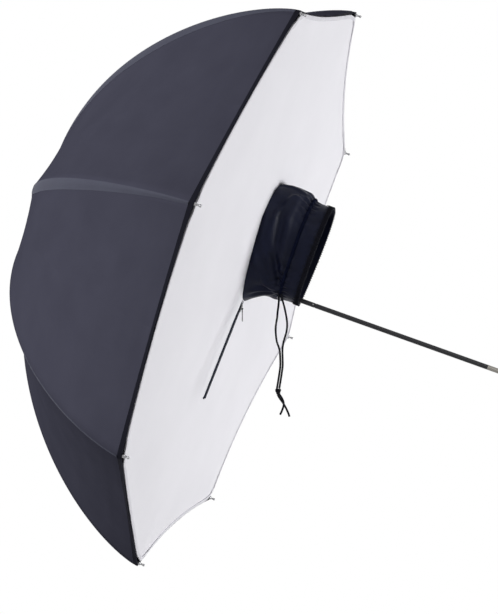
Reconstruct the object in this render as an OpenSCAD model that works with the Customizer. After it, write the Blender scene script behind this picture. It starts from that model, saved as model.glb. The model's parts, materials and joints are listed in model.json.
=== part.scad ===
// Folding studio umbrella: black canopy, white front diffuser, flash sleeve.
// Drawn in the umbrella's own frame: z runs up the shaft to the apex with 0 at
// the rim, x points at rib 1, y to the side. held() then tilts it the way a
// stand holds it, with the row's origin on the stretch of shaft that is clamped.

/* [Canopy] */
// Distance from the shaft to each rib tip
rim_r = 508; // [400:1:620]
// Height of the fabric at the apex above the rim
canopy_h = 384; // [300:1:440]
// How flat the canopy is near the apex (2 is a circle's flatness)
apex_curve = 2.1; // [1.8:0.05:2.4]
// How sharply the canopy turns down at the rim (0.5 is an ellipse's turn)
rim_curve = 0.7; // [0.6:0.02:0.85]
// Share by which the fabric pulls in between two ribs, halfway out
gore_pull = 0.05; // [0.02:0.005:0.07]
// The same share at the hem
hem_pull = 0.02; // [0:0.005:0.04]
// How far the hem is cut back towards the apex between two ribs
hem_rise = 8; // [0:1:15]
// Thickness of the canopy cloth's solid
cloth_t = 0.8; // [0.6:0.1:1.2]

/* [Shaft] */
// Outer diameter of the shaft
shaft_d = 8; // [7:0.5:9]
// Wall of the shaft's tube
shaft_wall = 0.8; // [0.6:0.1:1]
// Length of the shaft below the rim
shaft_below = 453; // [420:1:500]
// Length of the bare metal end
end_tip_len = 30; // [20:1:50]
// Tilt of the shaft above level, as held on a stand
shaft_tilt = 22; // [10:1:35]

/* [Ribs] */
// Width of a rib's channel
rib_w = 3.6; // [3:0.1:4.4]
// Height of a rib's channel
rib_h = 4; // [3.4:0.1:5]
// Wall of a rib's channel
rib_wall = 0.7; // [0.5:0.05:0.9]
// How far a rib tip stands out past the hem
tip_out = 11; // [8:1:16]
// Distance from the shaft to the rivet of each stretcher
rivet_r = 247; // [220:1:280]
// Thickness of the tangs and stretcher blades
blade_t = 1.8; // [1.4:0.1:2]

/* [Crown and runner] */
// Distance from the shaft's centre to both hinge wires
wire_ring_r = 9; // [8.5:0.1:10.5]
// Diameter of the hinge wires
wire_d = 1.2; // [1:0.1:1.4]
// Height of the crown
crown_h = 10; // [9:0.5:14]
// Length of the runner's tube
runner_len = 55; // [52:1:75]

/* [Diffuser and sleeve] */
// Length of the flash sleeve along the shaft
sleeve_len = 90; // [70:1:120]
// How far the sleeve's base reaches above the shaft
sleeve_above = 170; // [140:1:185]
// How far the sleeve's base reaches below the shaft
sleeve_below = 32; // [26:1:45]
// Half of the sleeve's width at its base
sleeve_half_w = 98; // [80:1:110]
// Thickness of the sleeve's cloth
sleeve_t = 1.2; // [0.8:0.1:2]
// Length of the zip
zip_len = 172; // [140:1:200]
// Width of the zip's teeth
zip_w = 6; // [5:0.1:7]

/* [Hidden] */
$fn = 48;
ribs = 8;
gore = 360 / ribs;
// Clearance between pieces on different bodies
run_gap = 0.3;
// Clearance round a pin or shaft that turns or slides
fit_gap = 0.05;
eps = 0.01;

shaft_r = shaft_d / 2;
bore_r = shaft_r - shaft_wall;
// The clamped stretch: from a rolled groove to the chamfer on the end
groove_w = 2;
groove_depth = 0.4;
end_chamfer = 1;
end_z = -shaft_below;

// Rib 1's pivot in the crown, under the cloth
rib_drop = 2.5; // from the middle of the cloth to the rib's back
pivot_z = canopy_h - rib_drop - rib_h / 2;
eye_r = 2.2;
eye_hole_r = wire_d / 2 + 0.15;
hook_hole_r = wire_d / 2 + 0.2;
tang_end_r = 20; // where the channel starts
crown_r = wire_ring_r + 3.5;
crown_low = pivot_z - crown_h + 3.2;
crown_top = canopy_h - cloth_t / 2 - 0.8;
hub_r = wire_ring_r - eye_r - run_gap;
slot_w = blade_t + 0.6;

// The canopy's meridian over a rib: radius and height at share u of the way out
function canopy_r(u) = rim_r * sin(90 * u);
function canopy_z(r) = canopy_h * pow(max(0, 1 - pow(r / rim_r, apex_curve)), rim_curve);
function meridian(u) = [canopy_r(u), canopy_z(canopy_r(u))];
function slope_dir(u) = let (d = meridian(min(1, u + 0.004)) - meridian(max(0, u - 0.004))) d / norm(d);
// A point at depth d below the meridian
function below(u, d) = let (s = slope_dir(u)) meridian(u) + d * [s.y, -s.x];

function share_at(r) = asin(r / rim_r) / 90;
// Ribs and cloth have points at the same shares of the way out, so their facets match
out_steps = 22;
function stations(u0) = concat([u0], [for (i = [1:out_steps]) if (i / out_steps > u0 + 0.01) i / out_steps]);

// The rivet that joins a rib and its stretcher, and the runner's pivot below
rivet = below(share_at(rivet_r), rib_drop + rib_h / 2);
crown_pivot = [wire_ring_r, pivot_z];
// Equal links, so the runner's pivot hangs as far below the rivet as the crown is above
runner_pivot = [wire_ring_r, 2 * rivet.y - pivot_z];
link = norm(rivet - crown_pivot);
rivet_pin_r = 1;
fork_len = 10;
fork_cheek = 1;
stretcher_h = 3;

// Closing turns each rib until its tip is just off the shaft
tip_at = below(1, rib_drop + rib_h / 2);
tip_reach = norm(tip_at - crown_pivot);
tip_closed_r = 22;
close_angle = atan2(tip_at.x - wire_ring_r, pivot_z - tip_at.y)
    - asin((tip_closed_r - wire_ring_r) / tip_reach);
link_open = atan2(rivet.x - wire_ring_r, pivot_z - rivet.y);
runner_travel = 2 * link * (cos(link_open - close_angle) - cos(link_open));

runner_ring_h = 10;
runner_low = runner_pivot.y - runner_len + runner_ring_h / 2;
runner_tube_r = hub_r - 0.2;
runner_bore_r = shaft_r + run_gap;
runner_closed_low = runner_low - runner_travel;
stop_pin_r = 1.2;
stop_pin_z = runner_closed_low - stop_pin_r - run_gap;
groove_z = stop_pin_z - stop_pin_r - 3;
grip_len = groove_z - (end_z + end_chamfer);
grip_z = groove_z - grip_len / 2;

// The catch under the runner, between two ribs on the side that faces down
catch_angle = 180 + gore / 2;
catch_z = runner_low - 0.4;
catch_len = 44;
catch_t = 1.2;
catch_out = 3;

cap_r = 13;
cap_base_z = canopy_h + cloth_t / 2 + 0.4;
cap_h = 24;
shaft_top = cap_base_z + 14;

half_gore = gore / 2 - 0.03; // panels of neighbouring ribs stay just apart
across_steps = 4;
hem_steps = 8;
diffuser_t = 0.8;
diffuser_hem_gap = 1.2;

// The sleeve's stations: place along it, its low and high edge, half width, share of
// that width kept at the low edge
casing_at = 0.6;
mouth_below = shaft_d / 2 + sleeve_t + 1.8; // the drawn-in cloth hangs on the shaft
sag = sleeve_below - mouth_below;
sleeve_stations = [
    [0, -sleeve_below, sleeve_above, sleeve_half_w, 0.34],
    [0.25, -mouth_below - 0.4 * sag, sleeve_above + 4, sleeve_half_w * 0.92, 0.38],
    [casing_at - 0.08, -mouth_below - 0.08 * sag, sleeve_above + 2, sleeve_half_w * 0.77, 0.5],
    [casing_at, -mouth_below - 0.04 * sag, sleeve_above - 3, sleeve_half_w * 0.71, 0.56],
    [casing_at + 0.08, -mouth_below, sleeve_above - 6, sleeve_half_w * 0.69, 0.6],
    [1, -mouth_below, sleeve_above - 7, sleeve_half_w * 0.67, 0.66],
];
sleeve_start = 1.4; // in front of the diffuser's cloth
sleeve_slant = 0.1; // the mouth's far side is shorter
loop_points = 32;

zip_t = 1.8;
zip_top_r = sleeve_below + 6;
zip_z = -1; // middle of the teeth
tape_t = 0.5;
tape_w = 16;
slit_w = 12;
slider_len = 12;
slider_w = 9.4;
slider_t = 4.6;
slider_at = zip_top_r + 9;
zip_post_gap = 1.1;
zip_post_t = 0.5;
lug_w = 2.4;
lug_r = 1.3;
lug_drop = -slider_t / 2 - lug_r - run_gap; // from the teeth's middle to the pull's pin
lug_pin_r = 0.7;

cord_d = 3.4;
knot_d = 12;
// Routes of the two cord ends, in the row's frame
cord_left = [
    [-213, -23, 80.5], [-213, -23, 74], [-213, -24, 66], [-214, -24, 58], [-215, -25, 49],
    [-216, -26, 38], [-218, -27, 25], [-218, -28, 11], [-216, -29, -3], [-212, -29, -15],
    [-211, -29, -29], [-211, -29, -43], [-213, -29, -57], [-215, -29, -69], [-217, -29, -80],
];
cord_right = [
    [-209, -23, 79.5], [-208, -23, 74], [-206, -24, 66], [-204, -24, 58], [-202, -25, 49],
    [-200, -26, 38], [-199, -27, 25], [-201, -28, 11], [-205, -29, -2], [-207, -29, -15],
    [-207, -29, -29], [-207, -29, -43], [-209, -29, -57], [-211, -29, -69], [-213, -29, -80],
];
knot_at = [-215, -29, -85];
cord_tails = [
    [[-216, -28, -90], [-213, -27, -96], [-208, -27, -103], [-203, -27, -112], [-199, -27, -121],
        [-197, -27, -127]],
    [[-213, -31, -90], [-209, -32, -96], [-206, -32, -103], [-206, -32, -110], [-209, -31, -118],
        [-212, -31, -124]],
];

// Umbrella frame to the row's frame
module held() {
    rotate([0, shaft_tilt - 90, 0]) translate([0, 0, -grip_z]) children();
}

// Turns a shape drawn for rib 1 to rib k's place
module at_rib(k) {
    rotate([0, 0, gore * (k - 1)]) children();
}

// Stands a drawing of radius and height up in rib 1's plane, t thick
module in_rib_plane(t) {
    rotate([90, 0, 0]) linear_extrude(t, center = true) children();
}

module tube(r, hole_r, z0, z1) {
    difference() {
        translate([0, 0, z0]) cylinder(h = z1 - z0, r = r);
        translate([0, 0, z0 - 1]) cylinder(h = z1 - z0 + 2, r = hole_r);
    }
}

module shaft() {
    tip_seam = end_z + end_tip_len;
    slot_low = catch_z - catch_len + 4;
    color([0.07, 0.07, 0.08]) held() difference() {
        tube(shaft_r, bore_r, tip_seam, shaft_top);
        translate([0, 0, groove_z]) tube(shaft_r + 1, shaft_r - groove_depth, 0, groove_w);
        translate([0, 0, stop_pin_z]) rotate([90, 0, 0])
            cylinder(h = 3 * shaft_d, r = stop_pin_r + fit_gap, center = true);
        rotate([0, 0, catch_angle]) translate([0, -catch_t / 2 - run_gap, slot_low])
            cube([shaft_d, catch_t + 2 * run_gap, catch_z + 2 - slot_low]);
    }
}

// The bare end: flush outside, with a spigot up the tube
module end_tip() {
    color([0.72, 0.71, 0.68]) held() translate([0, 0, end_z]) rotate_extrude() polygon([
        [0, 0],
        [shaft_r - end_chamfer, 0],
        [shaft_r, end_chamfer],
        [shaft_r, end_tip_len],
        [bore_r - fit_gap, end_tip_len],
        [bore_r - fit_gap, end_tip_len + 15],
        [0, end_tip_len + 15],
    ]);
}

module stop_pin() {
    color("silver") held() translate([0, 0, stop_pin_z]) rotate([90, 0, 0])
        cylinder(h = shaft_d + 3, r = stop_pin_r, center = true);
}

// A hub with a slot for each blade and a groove that holds the hinge wire
module notched_ring(r, z0, z1, wire_z, slot_from_r) {
    groove_h = wire_d + 0.3;
    difference() {
        translate([0, 0, z0]) cylinder(h = z1 - z0, r = r);
        for (k = [1:ribs]) at_rib(k) translate([slot_from_r, -slot_w / 2, z0 - 1])
            cube([r, slot_w, z1 - z0 + 2]);
        translate([0, 0, wire_z - groove_h / 2])
            tube(r + 1, wire_ring_r - groove_h / 2, 0, groove_h);
    }
}

module crown() {
    color([0.1, 0.1, 0.11]) held() difference() {
        union() {
            notched_ring(crown_r, crown_low, crown_top, pivot_z, hub_r);
            translate([0, 0, crown_low - 8]) cylinder(h = 8 + eps, r = hub_r);
        }
        translate([0, 0, crown_low - 9]) cylinder(h = crown_h + 30, r = shaft_r + fit_gap);
    }
}

module wire_ring(z) {
    translate([0, 0, z]) rotate_extrude() translate([wire_ring_r, 0]) circle(d = wire_d, $fn = 24);
}

module crown_wire() {
    color("silver") held() wire_ring(pivot_z);
}

module runner_wire() {
    color("silver") held() wire_ring(runner_pivot.y);
}

module apex_cap() {
    neck_r = shaft_r + 1.6;
    color([0.1, 0.1, 0.11]) held() difference() {
        translate([0, 0, cap_base_z]) rotate_extrude() polygon(concat(
            [[0, 0], [cap_r, 0], [cap_r, 1.6]],
            [for (a = [10:10:80]) [neck_r + (cap_r - neck_r) * (1 - sin(a)), 1.6 + 5 * sin(a)]],
            [[neck_r, 7], [neck_r, cap_h - 5]],
            [for (a = [0:15:90]) [neck_r * cos(a), cap_h - 5 + 5 * sin(a)]]
        ));
        translate([0, 0, cap_base_z - 1]) cylinder(h = shaft_top - cap_base_z + 1.2, r = shaft_r + fit_gap);
    }
}

// Spring catch: a foot that fills the bore, and a bent blade whose nose comes out
// through the shaft's slot and holds the runner up
module catch_spring() {
    foot = bore_r - 0.15;
    nose_r = shaft_r + catch_out;
    color("silver") held() rotate([0, 0, catch_angle]) translate([0, 0, catch_z]) in_rib_plane(catch_t)
        polygon([
            [-foot, -catch_len],
            [foot, -catch_len],
            [foot, 8 - catch_len],
            [shaft_r - 0.4, 14 - catch_len],
            [nose_r, -4],
            [nose_r, 0],
            [1.2, 0],
            [1.2, -1.2],
            [nose_r - 1.4, -1.2],
            [nose_r - 1.4, -4.2],
            [shaft_r - 1.8, 14 - catch_len],
            [foot - 1.6, 7 - catch_len],
            [-foot, 7 - catch_len],
        ]);
}

module runner() {
    top = runner_pivot.y + runner_ring_h / 2;
    collar_h = 8;
    color([0.1, 0.1, 0.11]) held() difference() {
        union() {
            notched_ring(crown_r - 0.5, top - runner_ring_h, top, runner_pivot.y, hub_r);
            translate([0, 0, runner_low]) cylinder(h = runner_len, r = runner_tube_r);
            translate([0, 0, runner_low]) cylinder(h = collar_h, r = runner_tube_r + 2);
            translate([0, 0, runner_low + collar_h])
                cylinder(h = 2, r1 = runner_tube_r + 2, r2 = runner_tube_r);
        }
        translate([0, 0, runner_low - 1]) cylinder(h = runner_len + 2, r = runner_bore_r);
    }
}

// A band along the meridian from radius r0 out to the rim, between two depths
function rib_band(r0, d0, d1) = let (us = stations(share_at(r0))) concat(
    [for (u = us) below(u, d0)],
    [for (i = [len(us) - 1:-1:0]) below(us[i], d1)]
);

// A curved steel channel, open downwards, with an eye for the crown's wire
module rib_body() {
    tang_u = share_at(tang_end_r + 8);
    difference() {
        union() {
            in_rib_plane(rib_w) polygon(rib_band(tang_end_r, rib_drop, rib_drop + rib_h));
            in_rib_plane(blade_t) union() {
                polygon([
                    crown_pivot + [0, eye_r - 0.4],
                    below(tang_u, rib_drop + 0.1),
                    below(tang_u, rib_drop + rib_h - 0.1),
                    crown_pivot - [0, eye_r - 0.4],
                ]);
                translate(crown_pivot) circle(r = eye_r);
            }
        }
        in_rib_plane(rib_w - 2 * rib_wall)
            polygon(rib_band(tang_end_r + 9, rib_drop + rib_wall, rib_drop + rib_h + 1));
        translate([crown_pivot.x, 0, crown_pivot.y]) rotate([90, 0, 0])
            cylinder(h = 3 * blade_t, r = eye_hole_r, center = true);
        translate([rivet.x, 0, rivet.y]) rotate([90, 0, 0])
            cylinder(h = 2 * rib_w, r = rivet_pin_r + fit_gap, center = true);
    }
}

module rivet_pin() {
    span = rib_w / 2 + run_gap + fork_cheek + run_gap;
    translate([rivet.x, 0, rivet.y]) rotate([90, 0, 0]) {
        cylinder(h = 2 * span, r = rivet_pin_r, center = true);
        for (side = [-1, 1]) translate([0, 0, side * (span + 0.4)])
            cylinder(h = 0.8 + 2 * eps, r = 1.9, center = true);
    }
}

module rib(k) {
    color("dimgray") held() at_rib(k) {
        rib_body();
        rivet_pin();
    }
}

// Metal tip: a socket on the rib's end, then a neck and a ball past the hem
module rib_tip(k) {
    socket = 5;
    tip_r = rib_h / 2 + 1.2;
    neck_r = 1.5;
    ball_r = 2.2;
    lean = 0.6; // the rib curves inwards over the socket's depth
    color("silver") held() at_rib(k) translate([tip_at.x - lean / 2, 0, tip_at.y]) difference() {
        rotate_extrude() polygon(concat(
            [[0, socket], [tip_r, socket], [tip_r, -2], [neck_r, -3.4]],
            [for (a = [45:15:180]) [ball_r * sin(a), -tip_out + ball_r * (1 + cos(a))]]
        ));
        translate([-(rib_h + lean) / 2 - 0.1, -rib_w / 2 - 0.1, -0.1])
            cube([rib_h + lean + 0.2, rib_w + 0.2, socket + 1]);
    }
}

// The way out for the wire, towards every direction from one angle to the other
module hook_mouth(from, to) {
    left = hook_hole_r * [cos(from + 90), sin(from + 90)];
    right = hook_hole_r * [cos(to - 90), sin(to - 90)];
    polygon([left, left + 8 * [cos(from), sin(from)], right + 8 * [cos(to), sin(to)], right]);
}

// A flat link with a fork on the rib and an open hook on the runner's wire. The hook
// is the pivot where the closed loop of the real linkage is opened.
module stretcher_body() {
    away = (runner_pivot - rivet) / link;
    fork_root = rivet + away * fork_len;
    side = [-away.y, away.x];
    half = stretcher_h / 2;
    cheek_mid = rib_w / 2 + run_gap + fork_cheek / 2;
    difference() {
        union() {
            in_rib_plane(blade_t) {
                polygon([
                    fork_root - side * half,
                    fork_root + side * half,
                    runner_pivot - away * 1 + side * half,
                    runner_pivot - away * 1 - side * half,
                ]);
                translate(runner_pivot) circle(r = eye_r - 0.2);
            }
            for (s = [-1, 1]) translate([0, s * cheek_mid, 0]) in_rib_plane(fork_cheek) {
                translate(rivet) circle(r = 2);
                polygon([
                    rivet - side * 1.6,
                    rivet + side * 1.6,
                    fork_root + away * 4 + side * half,
                    fork_root + away * 4 - side * half,
                ]);
            }
            in_rib_plane(2 * cheek_mid) polygon([
                fork_root - side * half,
                fork_root + side * half,
                fork_root + away * 4 + side * half,
                fork_root + away * 4 - side * half,
            ]);
        }
        translate([rivet.x, 0, rivet.y]) rotate([90, 0, 0])
            cylinder(h = 3 * rib_w, r = rivet_pin_r + fit_gap, center = true);
        translate([runner_pivot.x, 0, runner_pivot.y]) rotate([90, 0, 0])
            cylinder(h = 3 * blade_t, r = hook_hole_r, center = true);
        in_rib_plane(3 * blade_t) translate(runner_pivot) hook_mouth(100, 90 - close_angle);
    }
}

module stretcher(k) {
    color("dimgray") held() at_rib(k) stretcher_body();
}

// The cloth between two ribs, at share u of the way out and angle a from a rib
function gore_share(a) = 0.5 * (1 + tan(abs(a) - gore / 2) / tan(gore / 2));
function dip(a) = let (f = gore_share(a)) 4 * f * (1 - f);
function pull_at(u) = gore_pull + (hem_pull - gore_pull) * pow(u, 3);
function cloth_scale(u, a) = cos(gore / 2) / cos(gore / 2 - abs(a)) * (1 - pull_at(u) * dip(a));
// Depth d below the rib's meridian, measured square to it
function cloth_point(u, a, d) = let (
    m = below(u, d),
    r = m.x * cloth_scale(u, a)
) [r * cos(a), r * sin(a), m.y + hem_rise * dip(a) * pow(u, 12)];
function cloth_rows(d) = [for (u = stations(share_at(shaft_r + 1.5)))
    [for (j = [-across_steps:across_steps]) cloth_point(u, half_gore * j / across_steps, d)]];
function flat(rows) = [for (row = rows) for (p = row) p];

// One panel of canopy cloth, centred on its rib, from seam to seam of the folds
module cloth_panel() {
    nj = 2 * across_steps + 1;
    top = flat(cloth_rows(-cloth_t / 2));
    low = flat(cloth_rows(cloth_t / 2));
    n = len(top);
    ni = n / nj;
    function at(i, j) = i * nj + j;
    edge = concat(
        [for (j = [0:nj - 1]) at(0, j)],
        [for (i = [1:ni - 1]) at(i, nj - 1)],
        [for (j = [nj - 2:-1:0]) at(ni - 1, j)],
        [for (i = [ni - 2:-1:1]) at(i, 0)]
    );
    ne = len(edge);
    polyhedron(concat(top, low), concat(
        [for (i = [0:ni - 2]) for (j = [0:nj - 2]) for (f = [
            [at(i, j), at(i, j + 1), at(i + 1, j + 1)],
            [at(i, j), at(i + 1, j + 1), at(i + 1, j)],
        ]) f],
        [for (i = [0:ni - 2]) for (j = [0:nj - 2]) for (f = [
            [n + at(i, j), n + at(i + 1, j + 1), n + at(i, j + 1)],
            [n + at(i, j), n + at(i + 1, j), n + at(i + 1, j + 1)],
        ]) f],
        [for (e = [0:ne - 1]) for (f = [
            [edge[e], n + edge[e], n + edge[(e + 1) % ne]],
            [edge[e], n + edge[(e + 1) % ne], edge[(e + 1) % ne]],
        ]) f]
    ));
}

module canopy(k) {
    color([0.09, 0.09, 0.12]) held() at_rib(k) cloth_panel();
}

// The sleeve's outline at station s, grown outwards by g
function power(v, e) = sign(v) * pow(abs(v), e);
function sleeve_loop(s, g) = [for (i = [0:loop_points - 1]) let (
    a = 360 * i / loop_points,
    mid = (s[1] + s[2]) / 2,
    half = (s[2] - s[1]) / 2,
    x = mid + (half + g) * power(cos(a), 0.62),
    up = (x - s[1] + g) / (2 * (half + g)),
    share = s[4] + (1 - s[4]) * pow(max(0, min(1, up * 1.6)), 0.8)
) [x, (s[3] * share + g) * power(sin(a), 0.62)]];
function sleeve_ring(s, g) = [for (p = sleeve_loop(s, g))
    [p.x, p.y, -sleeve_start - sleeve_len * s[0] + sleeve_slant * s[0] * p.y]];

// A tube through rings of points, outer rings first, with its walls closed at both ends
module ring_shell(outer, inner) {
    ns = len(outer);
    m = loop_points;
    points = concat(flat(outer), flat(inner));
    function at(s, i, side) = side * ns * m + s * m + i % m;
    polyhedron(points, concat(
        [for (s = [0:ns - 2]) for (i = [0:m - 1]) for (f = [
            [at(s, i, 0), at(s, i + 1, 0), at(s + 1, i + 1, 0)],
            [at(s, i, 0), at(s + 1, i + 1, 0), at(s + 1, i, 0)],
            [at(s, i, 1), at(s + 1, i + 1, 1), at(s, i + 1, 1)],
            [at(s, i, 1), at(s + 1, i, 1), at(s + 1, i + 1, 1)],
        ]) f],
        [for (i = [0:m - 1]) for (f = [
            [at(0, i, 0), at(0, i, 1), at(0, i + 1, 1)],
            [at(0, i, 0), at(0, i + 1, 1), at(0, i + 1, 0)],
            [at(ns - 1, i, 0), at(ns - 1, i + 1, 1), at(ns - 1, i, 1)],
            [at(ns - 1, i, 0), at(ns - 1, i + 1, 0), at(ns - 1, i + 1, 1)],
        ]) f]
    ));
}

module sleeve() {
    color([0.08, 0.08, 0.11]) held() ring_shell(
        [for (s = sleeve_stations) sleeve_ring(s, 0)],
        [for (s = sleeve_stations) sleeve_ring(s, -sleeve_t)]
    );
}

// A band sewn round the outside of the sleeve between two places along it
module sleeve_band(s0, s1, thick) {
    color([0.05, 0.05, 0.06]) held() ring_shell(
        [sleeve_ring(s0, thick + 0.2), sleeve_ring(s1, thick + 0.2)],
        [sleeve_ring(s0, 0.2), sleeve_ring(s1, 0.2)]
    );
}

function between(s0, s1, t) = s0 + (s1 - s0) * t;

module sleeve_hem() {
    last = len(sleeve_stations) - 1;
    sleeve_band(between(sleeve_stations[last - 1], sleeve_stations[last], 0.75), sleeve_stations[last], 1);
}

module cord_casing() {
    sleeve_band(
        between(sleeve_stations[3], sleeve_stations[4], 0.12),
        between(sleeve_stations[3], sleeve_stations[4], 0.88),
        2.4
    );
}

// Outline of one diffuser panel: the hem between the folds, then in to the shaft
function diffuser_outline() = concat(
    [for (j = [-hem_steps:hem_steps]) let (
        a = half_gore * j / hem_steps,
        r = (rim_r - rib_drop - rib_h - 1.5) * cloth_scale(1, a) - diffuser_hem_gap
    ) r * [cos(a), sin(a)]],
    [[run_gap / 2 / sin(gore / 2), 0]]
);

module diffuser(k) {
    base = sleeve_stations[0];
    color([0.93, 0.93, 0.95]) held() translate([0, 0, -diffuser_t / 2]) linear_extrude(diffuser_t) difference() {
        rotate([0, 0, gore * (k - 1)]) polygon(diffuser_outline());
        polygon([for (p = sleeve_loop(base, 0.4)) p]);
        if (k == 5) translate([-zip_top_r - zip_len - 4, -slit_w / 2]) square([zip_len + zip_top_r, slit_w]);
    }
}

// Both rows of the closed zip, down the seam of panel 5, with the slider's post between
module zip_chain() {
    row_w = (zip_w - zip_post_gap) / 2;
    color([0.05, 0.05, 0.06]) held() for (side = [-1, 1])
        translate([-zip_top_r - zip_len, side * (zip_w - row_w) / 2 - row_w / 2, zip_z - zip_t / 2])
            cube([zip_len, row_w, zip_t]);
}

module zip_tape() {
    strip = (tape_w - zip_w) / 2;
    color([0.05, 0.05, 0.06]) held() for (side = [-1, 1])
        translate([-zip_top_r - zip_len, side * (zip_w + strip) / 2 - strip / 2, zip_z - tape_t / 2])
            cube([zip_len, strip, tape_t]);
}

// Slider: two plates joined by a post between the rows, with side slots for the tape
module zip_slider() {
    color([0.1, 0.1, 0.11]) held() translate([-slider_at, 0, zip_z]) {
        difference() {
            union() {
                translate([-slider_len / 2, -slider_w / 2, -slider_t / 2])
                    cube([slider_len, slider_w, slider_t]);
                translate([-2, -lug_w / 2, lug_drop - lug_r]) cube([4, lug_w, 2 * lug_r + run_gap]);
            }
            cube([slider_len + 2, zip_w + 2 * run_gap, zip_t + 2 * run_gap], center = true);
            cube([slider_len + 2, slider_w + 2, tape_t + 2 * run_gap], center = true);
            translate([0, 0, lug_drop]) rotate([90, 0, 0])
                cylinder(h = 8, r = lug_pin_r + fit_gap, center = true);
        }
        translate([slider_len / 2 - 4, -zip_post_t / 2, -slider_t / 2 + 0.2])
            cube([3.6, zip_post_t, slider_t - 0.4]);
    }
}

// Pull tab: forked over the slider's lug on a pin, and hanging straight down
module zip_pull() {
    arm_y = lug_w / 2 + run_gap;
    arm_t = 1;
    tab = 22;
    color([0.1, 0.1, 0.11]) held() translate([-slider_at, 0, zip_z + lug_drop])
        rotate([0, 90 - shaft_tilt, 0]) {
            rotate([90, 0, 0]) cylinder(h = 2 * arm_y + 2 * eps, r = lug_pin_r, center = true);
            for (side = [-1, 1]) translate([0, side * (arm_y + arm_t / 2), 0]) in_rib_plane(arm_t) {
                circle(r = lug_r);
                translate([-0.9, -5]) square([1.8, 5]);
            }
            translate([-0.7, -arm_y - arm_t, -tab]) cube([1.4, 2 * (arm_y + arm_t), tab - 4]);
        }
}

function unit(v) = v / norm(v);
// A ring of points square to the route at its point i
function cord_ring(route, i, r) = let (
    n = len(route),
    d = unit(route[min(n - 1, i + 1)] - route[max(0, i - 1)]),
    a = unit(cross(d, [0, 1, 0])),
    b = cross(d, a)
) [for (k = [0:7]) route[i] + r * (cos(45 * k) * a + sin(45 * k) * b)];

module cord(route, d) {
    n = len(route);
    polyhedron(
        [for (i = [0:n - 1]) for (p = cord_ring(route, i, d / 2)) p],
        concat(
            [[for (k = [0:7]) k]],
            [for (i = [0:n - 2]) for (k = [0:7])
                [8 * i + k, 8 * i + 8 + k, 8 * i + 8 + (k + 1) % 8, 8 * i + (k + 1) % 8]],
            [[for (k = [7:-1:0]) 8 * (n - 1) + k]]
        )
    );
}

module drawcord_left() {
    color([0.05, 0.05, 0.06]) cord(cord_left, cord_d);
}

module drawcord_right() {
    color([0.05, 0.05, 0.06]) cord(cord_right, cord_d);
}

module cord_knot() {
    color([0.05, 0.05, 0.06]) {
        translate(knot_at) sphere(d = knot_d, $fn = 24);
        for (route = cord_tails) cord(route, cord_d);
    }
}

shaft();
end_tip();
crown();
crown_wire();
apex_cap();
stop_pin();
catch_spring();
runner();
runner_wire();
for (k = [1:ribs]) rib(k);
for (k = [1:ribs]) rib_tip(k);
for (k = [1:ribs]) stretcher(k);
for (k = [1:ribs]) canopy(k);
for (k = [1:ribs]) diffuser(k);
sleeve();
sleeve_hem();
cord_casing();
drawcord_left();
drawcord_right();
cord_knot();
zip_chain();
zip_tape();
zip_slider();
zip_pull();
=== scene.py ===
"""Folding studio umbrella: its cloth, flash sleeve, cords, zip and finishes over the CAD frame."""

import json
import math

import bmesh
import bpy
from mathutils import Matrix, Vector
from mathutils.bvhtree import BVHTree

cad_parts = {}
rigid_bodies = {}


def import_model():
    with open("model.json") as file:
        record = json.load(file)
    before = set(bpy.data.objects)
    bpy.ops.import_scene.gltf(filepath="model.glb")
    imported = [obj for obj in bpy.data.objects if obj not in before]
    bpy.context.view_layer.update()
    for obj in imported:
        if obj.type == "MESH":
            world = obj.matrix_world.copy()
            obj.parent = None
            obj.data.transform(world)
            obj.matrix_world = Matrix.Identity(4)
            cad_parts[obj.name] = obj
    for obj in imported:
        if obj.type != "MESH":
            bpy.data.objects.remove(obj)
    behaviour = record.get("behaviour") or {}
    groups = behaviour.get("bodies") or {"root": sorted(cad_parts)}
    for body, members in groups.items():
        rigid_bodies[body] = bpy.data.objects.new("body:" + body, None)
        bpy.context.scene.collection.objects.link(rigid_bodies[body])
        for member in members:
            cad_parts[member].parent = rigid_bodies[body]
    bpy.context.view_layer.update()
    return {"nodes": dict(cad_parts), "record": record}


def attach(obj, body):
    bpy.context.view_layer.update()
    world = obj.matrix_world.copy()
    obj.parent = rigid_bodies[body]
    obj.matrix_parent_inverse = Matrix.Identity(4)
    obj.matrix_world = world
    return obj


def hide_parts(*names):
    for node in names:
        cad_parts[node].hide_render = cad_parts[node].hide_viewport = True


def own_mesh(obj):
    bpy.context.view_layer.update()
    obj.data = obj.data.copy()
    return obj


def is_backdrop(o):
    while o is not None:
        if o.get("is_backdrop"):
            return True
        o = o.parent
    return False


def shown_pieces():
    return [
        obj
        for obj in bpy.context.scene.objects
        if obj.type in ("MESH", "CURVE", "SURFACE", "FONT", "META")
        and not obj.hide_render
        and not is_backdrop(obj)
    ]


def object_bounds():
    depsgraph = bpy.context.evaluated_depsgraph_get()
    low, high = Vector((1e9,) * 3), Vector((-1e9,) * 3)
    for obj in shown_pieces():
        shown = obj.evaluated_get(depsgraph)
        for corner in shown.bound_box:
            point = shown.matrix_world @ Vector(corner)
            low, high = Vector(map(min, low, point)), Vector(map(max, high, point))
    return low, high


bl_info = {
    "name": "Studio umbrella",
    "version": (1, 0, 0),
    "blender": (4, 5, 0),
    "location": "3D View > Sidebar > Umbrella",
    "description": "Makes a folding studio umbrella's cloth, flash sleeve, cords and finishes",
    "category": "Object",
}

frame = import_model()

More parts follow.
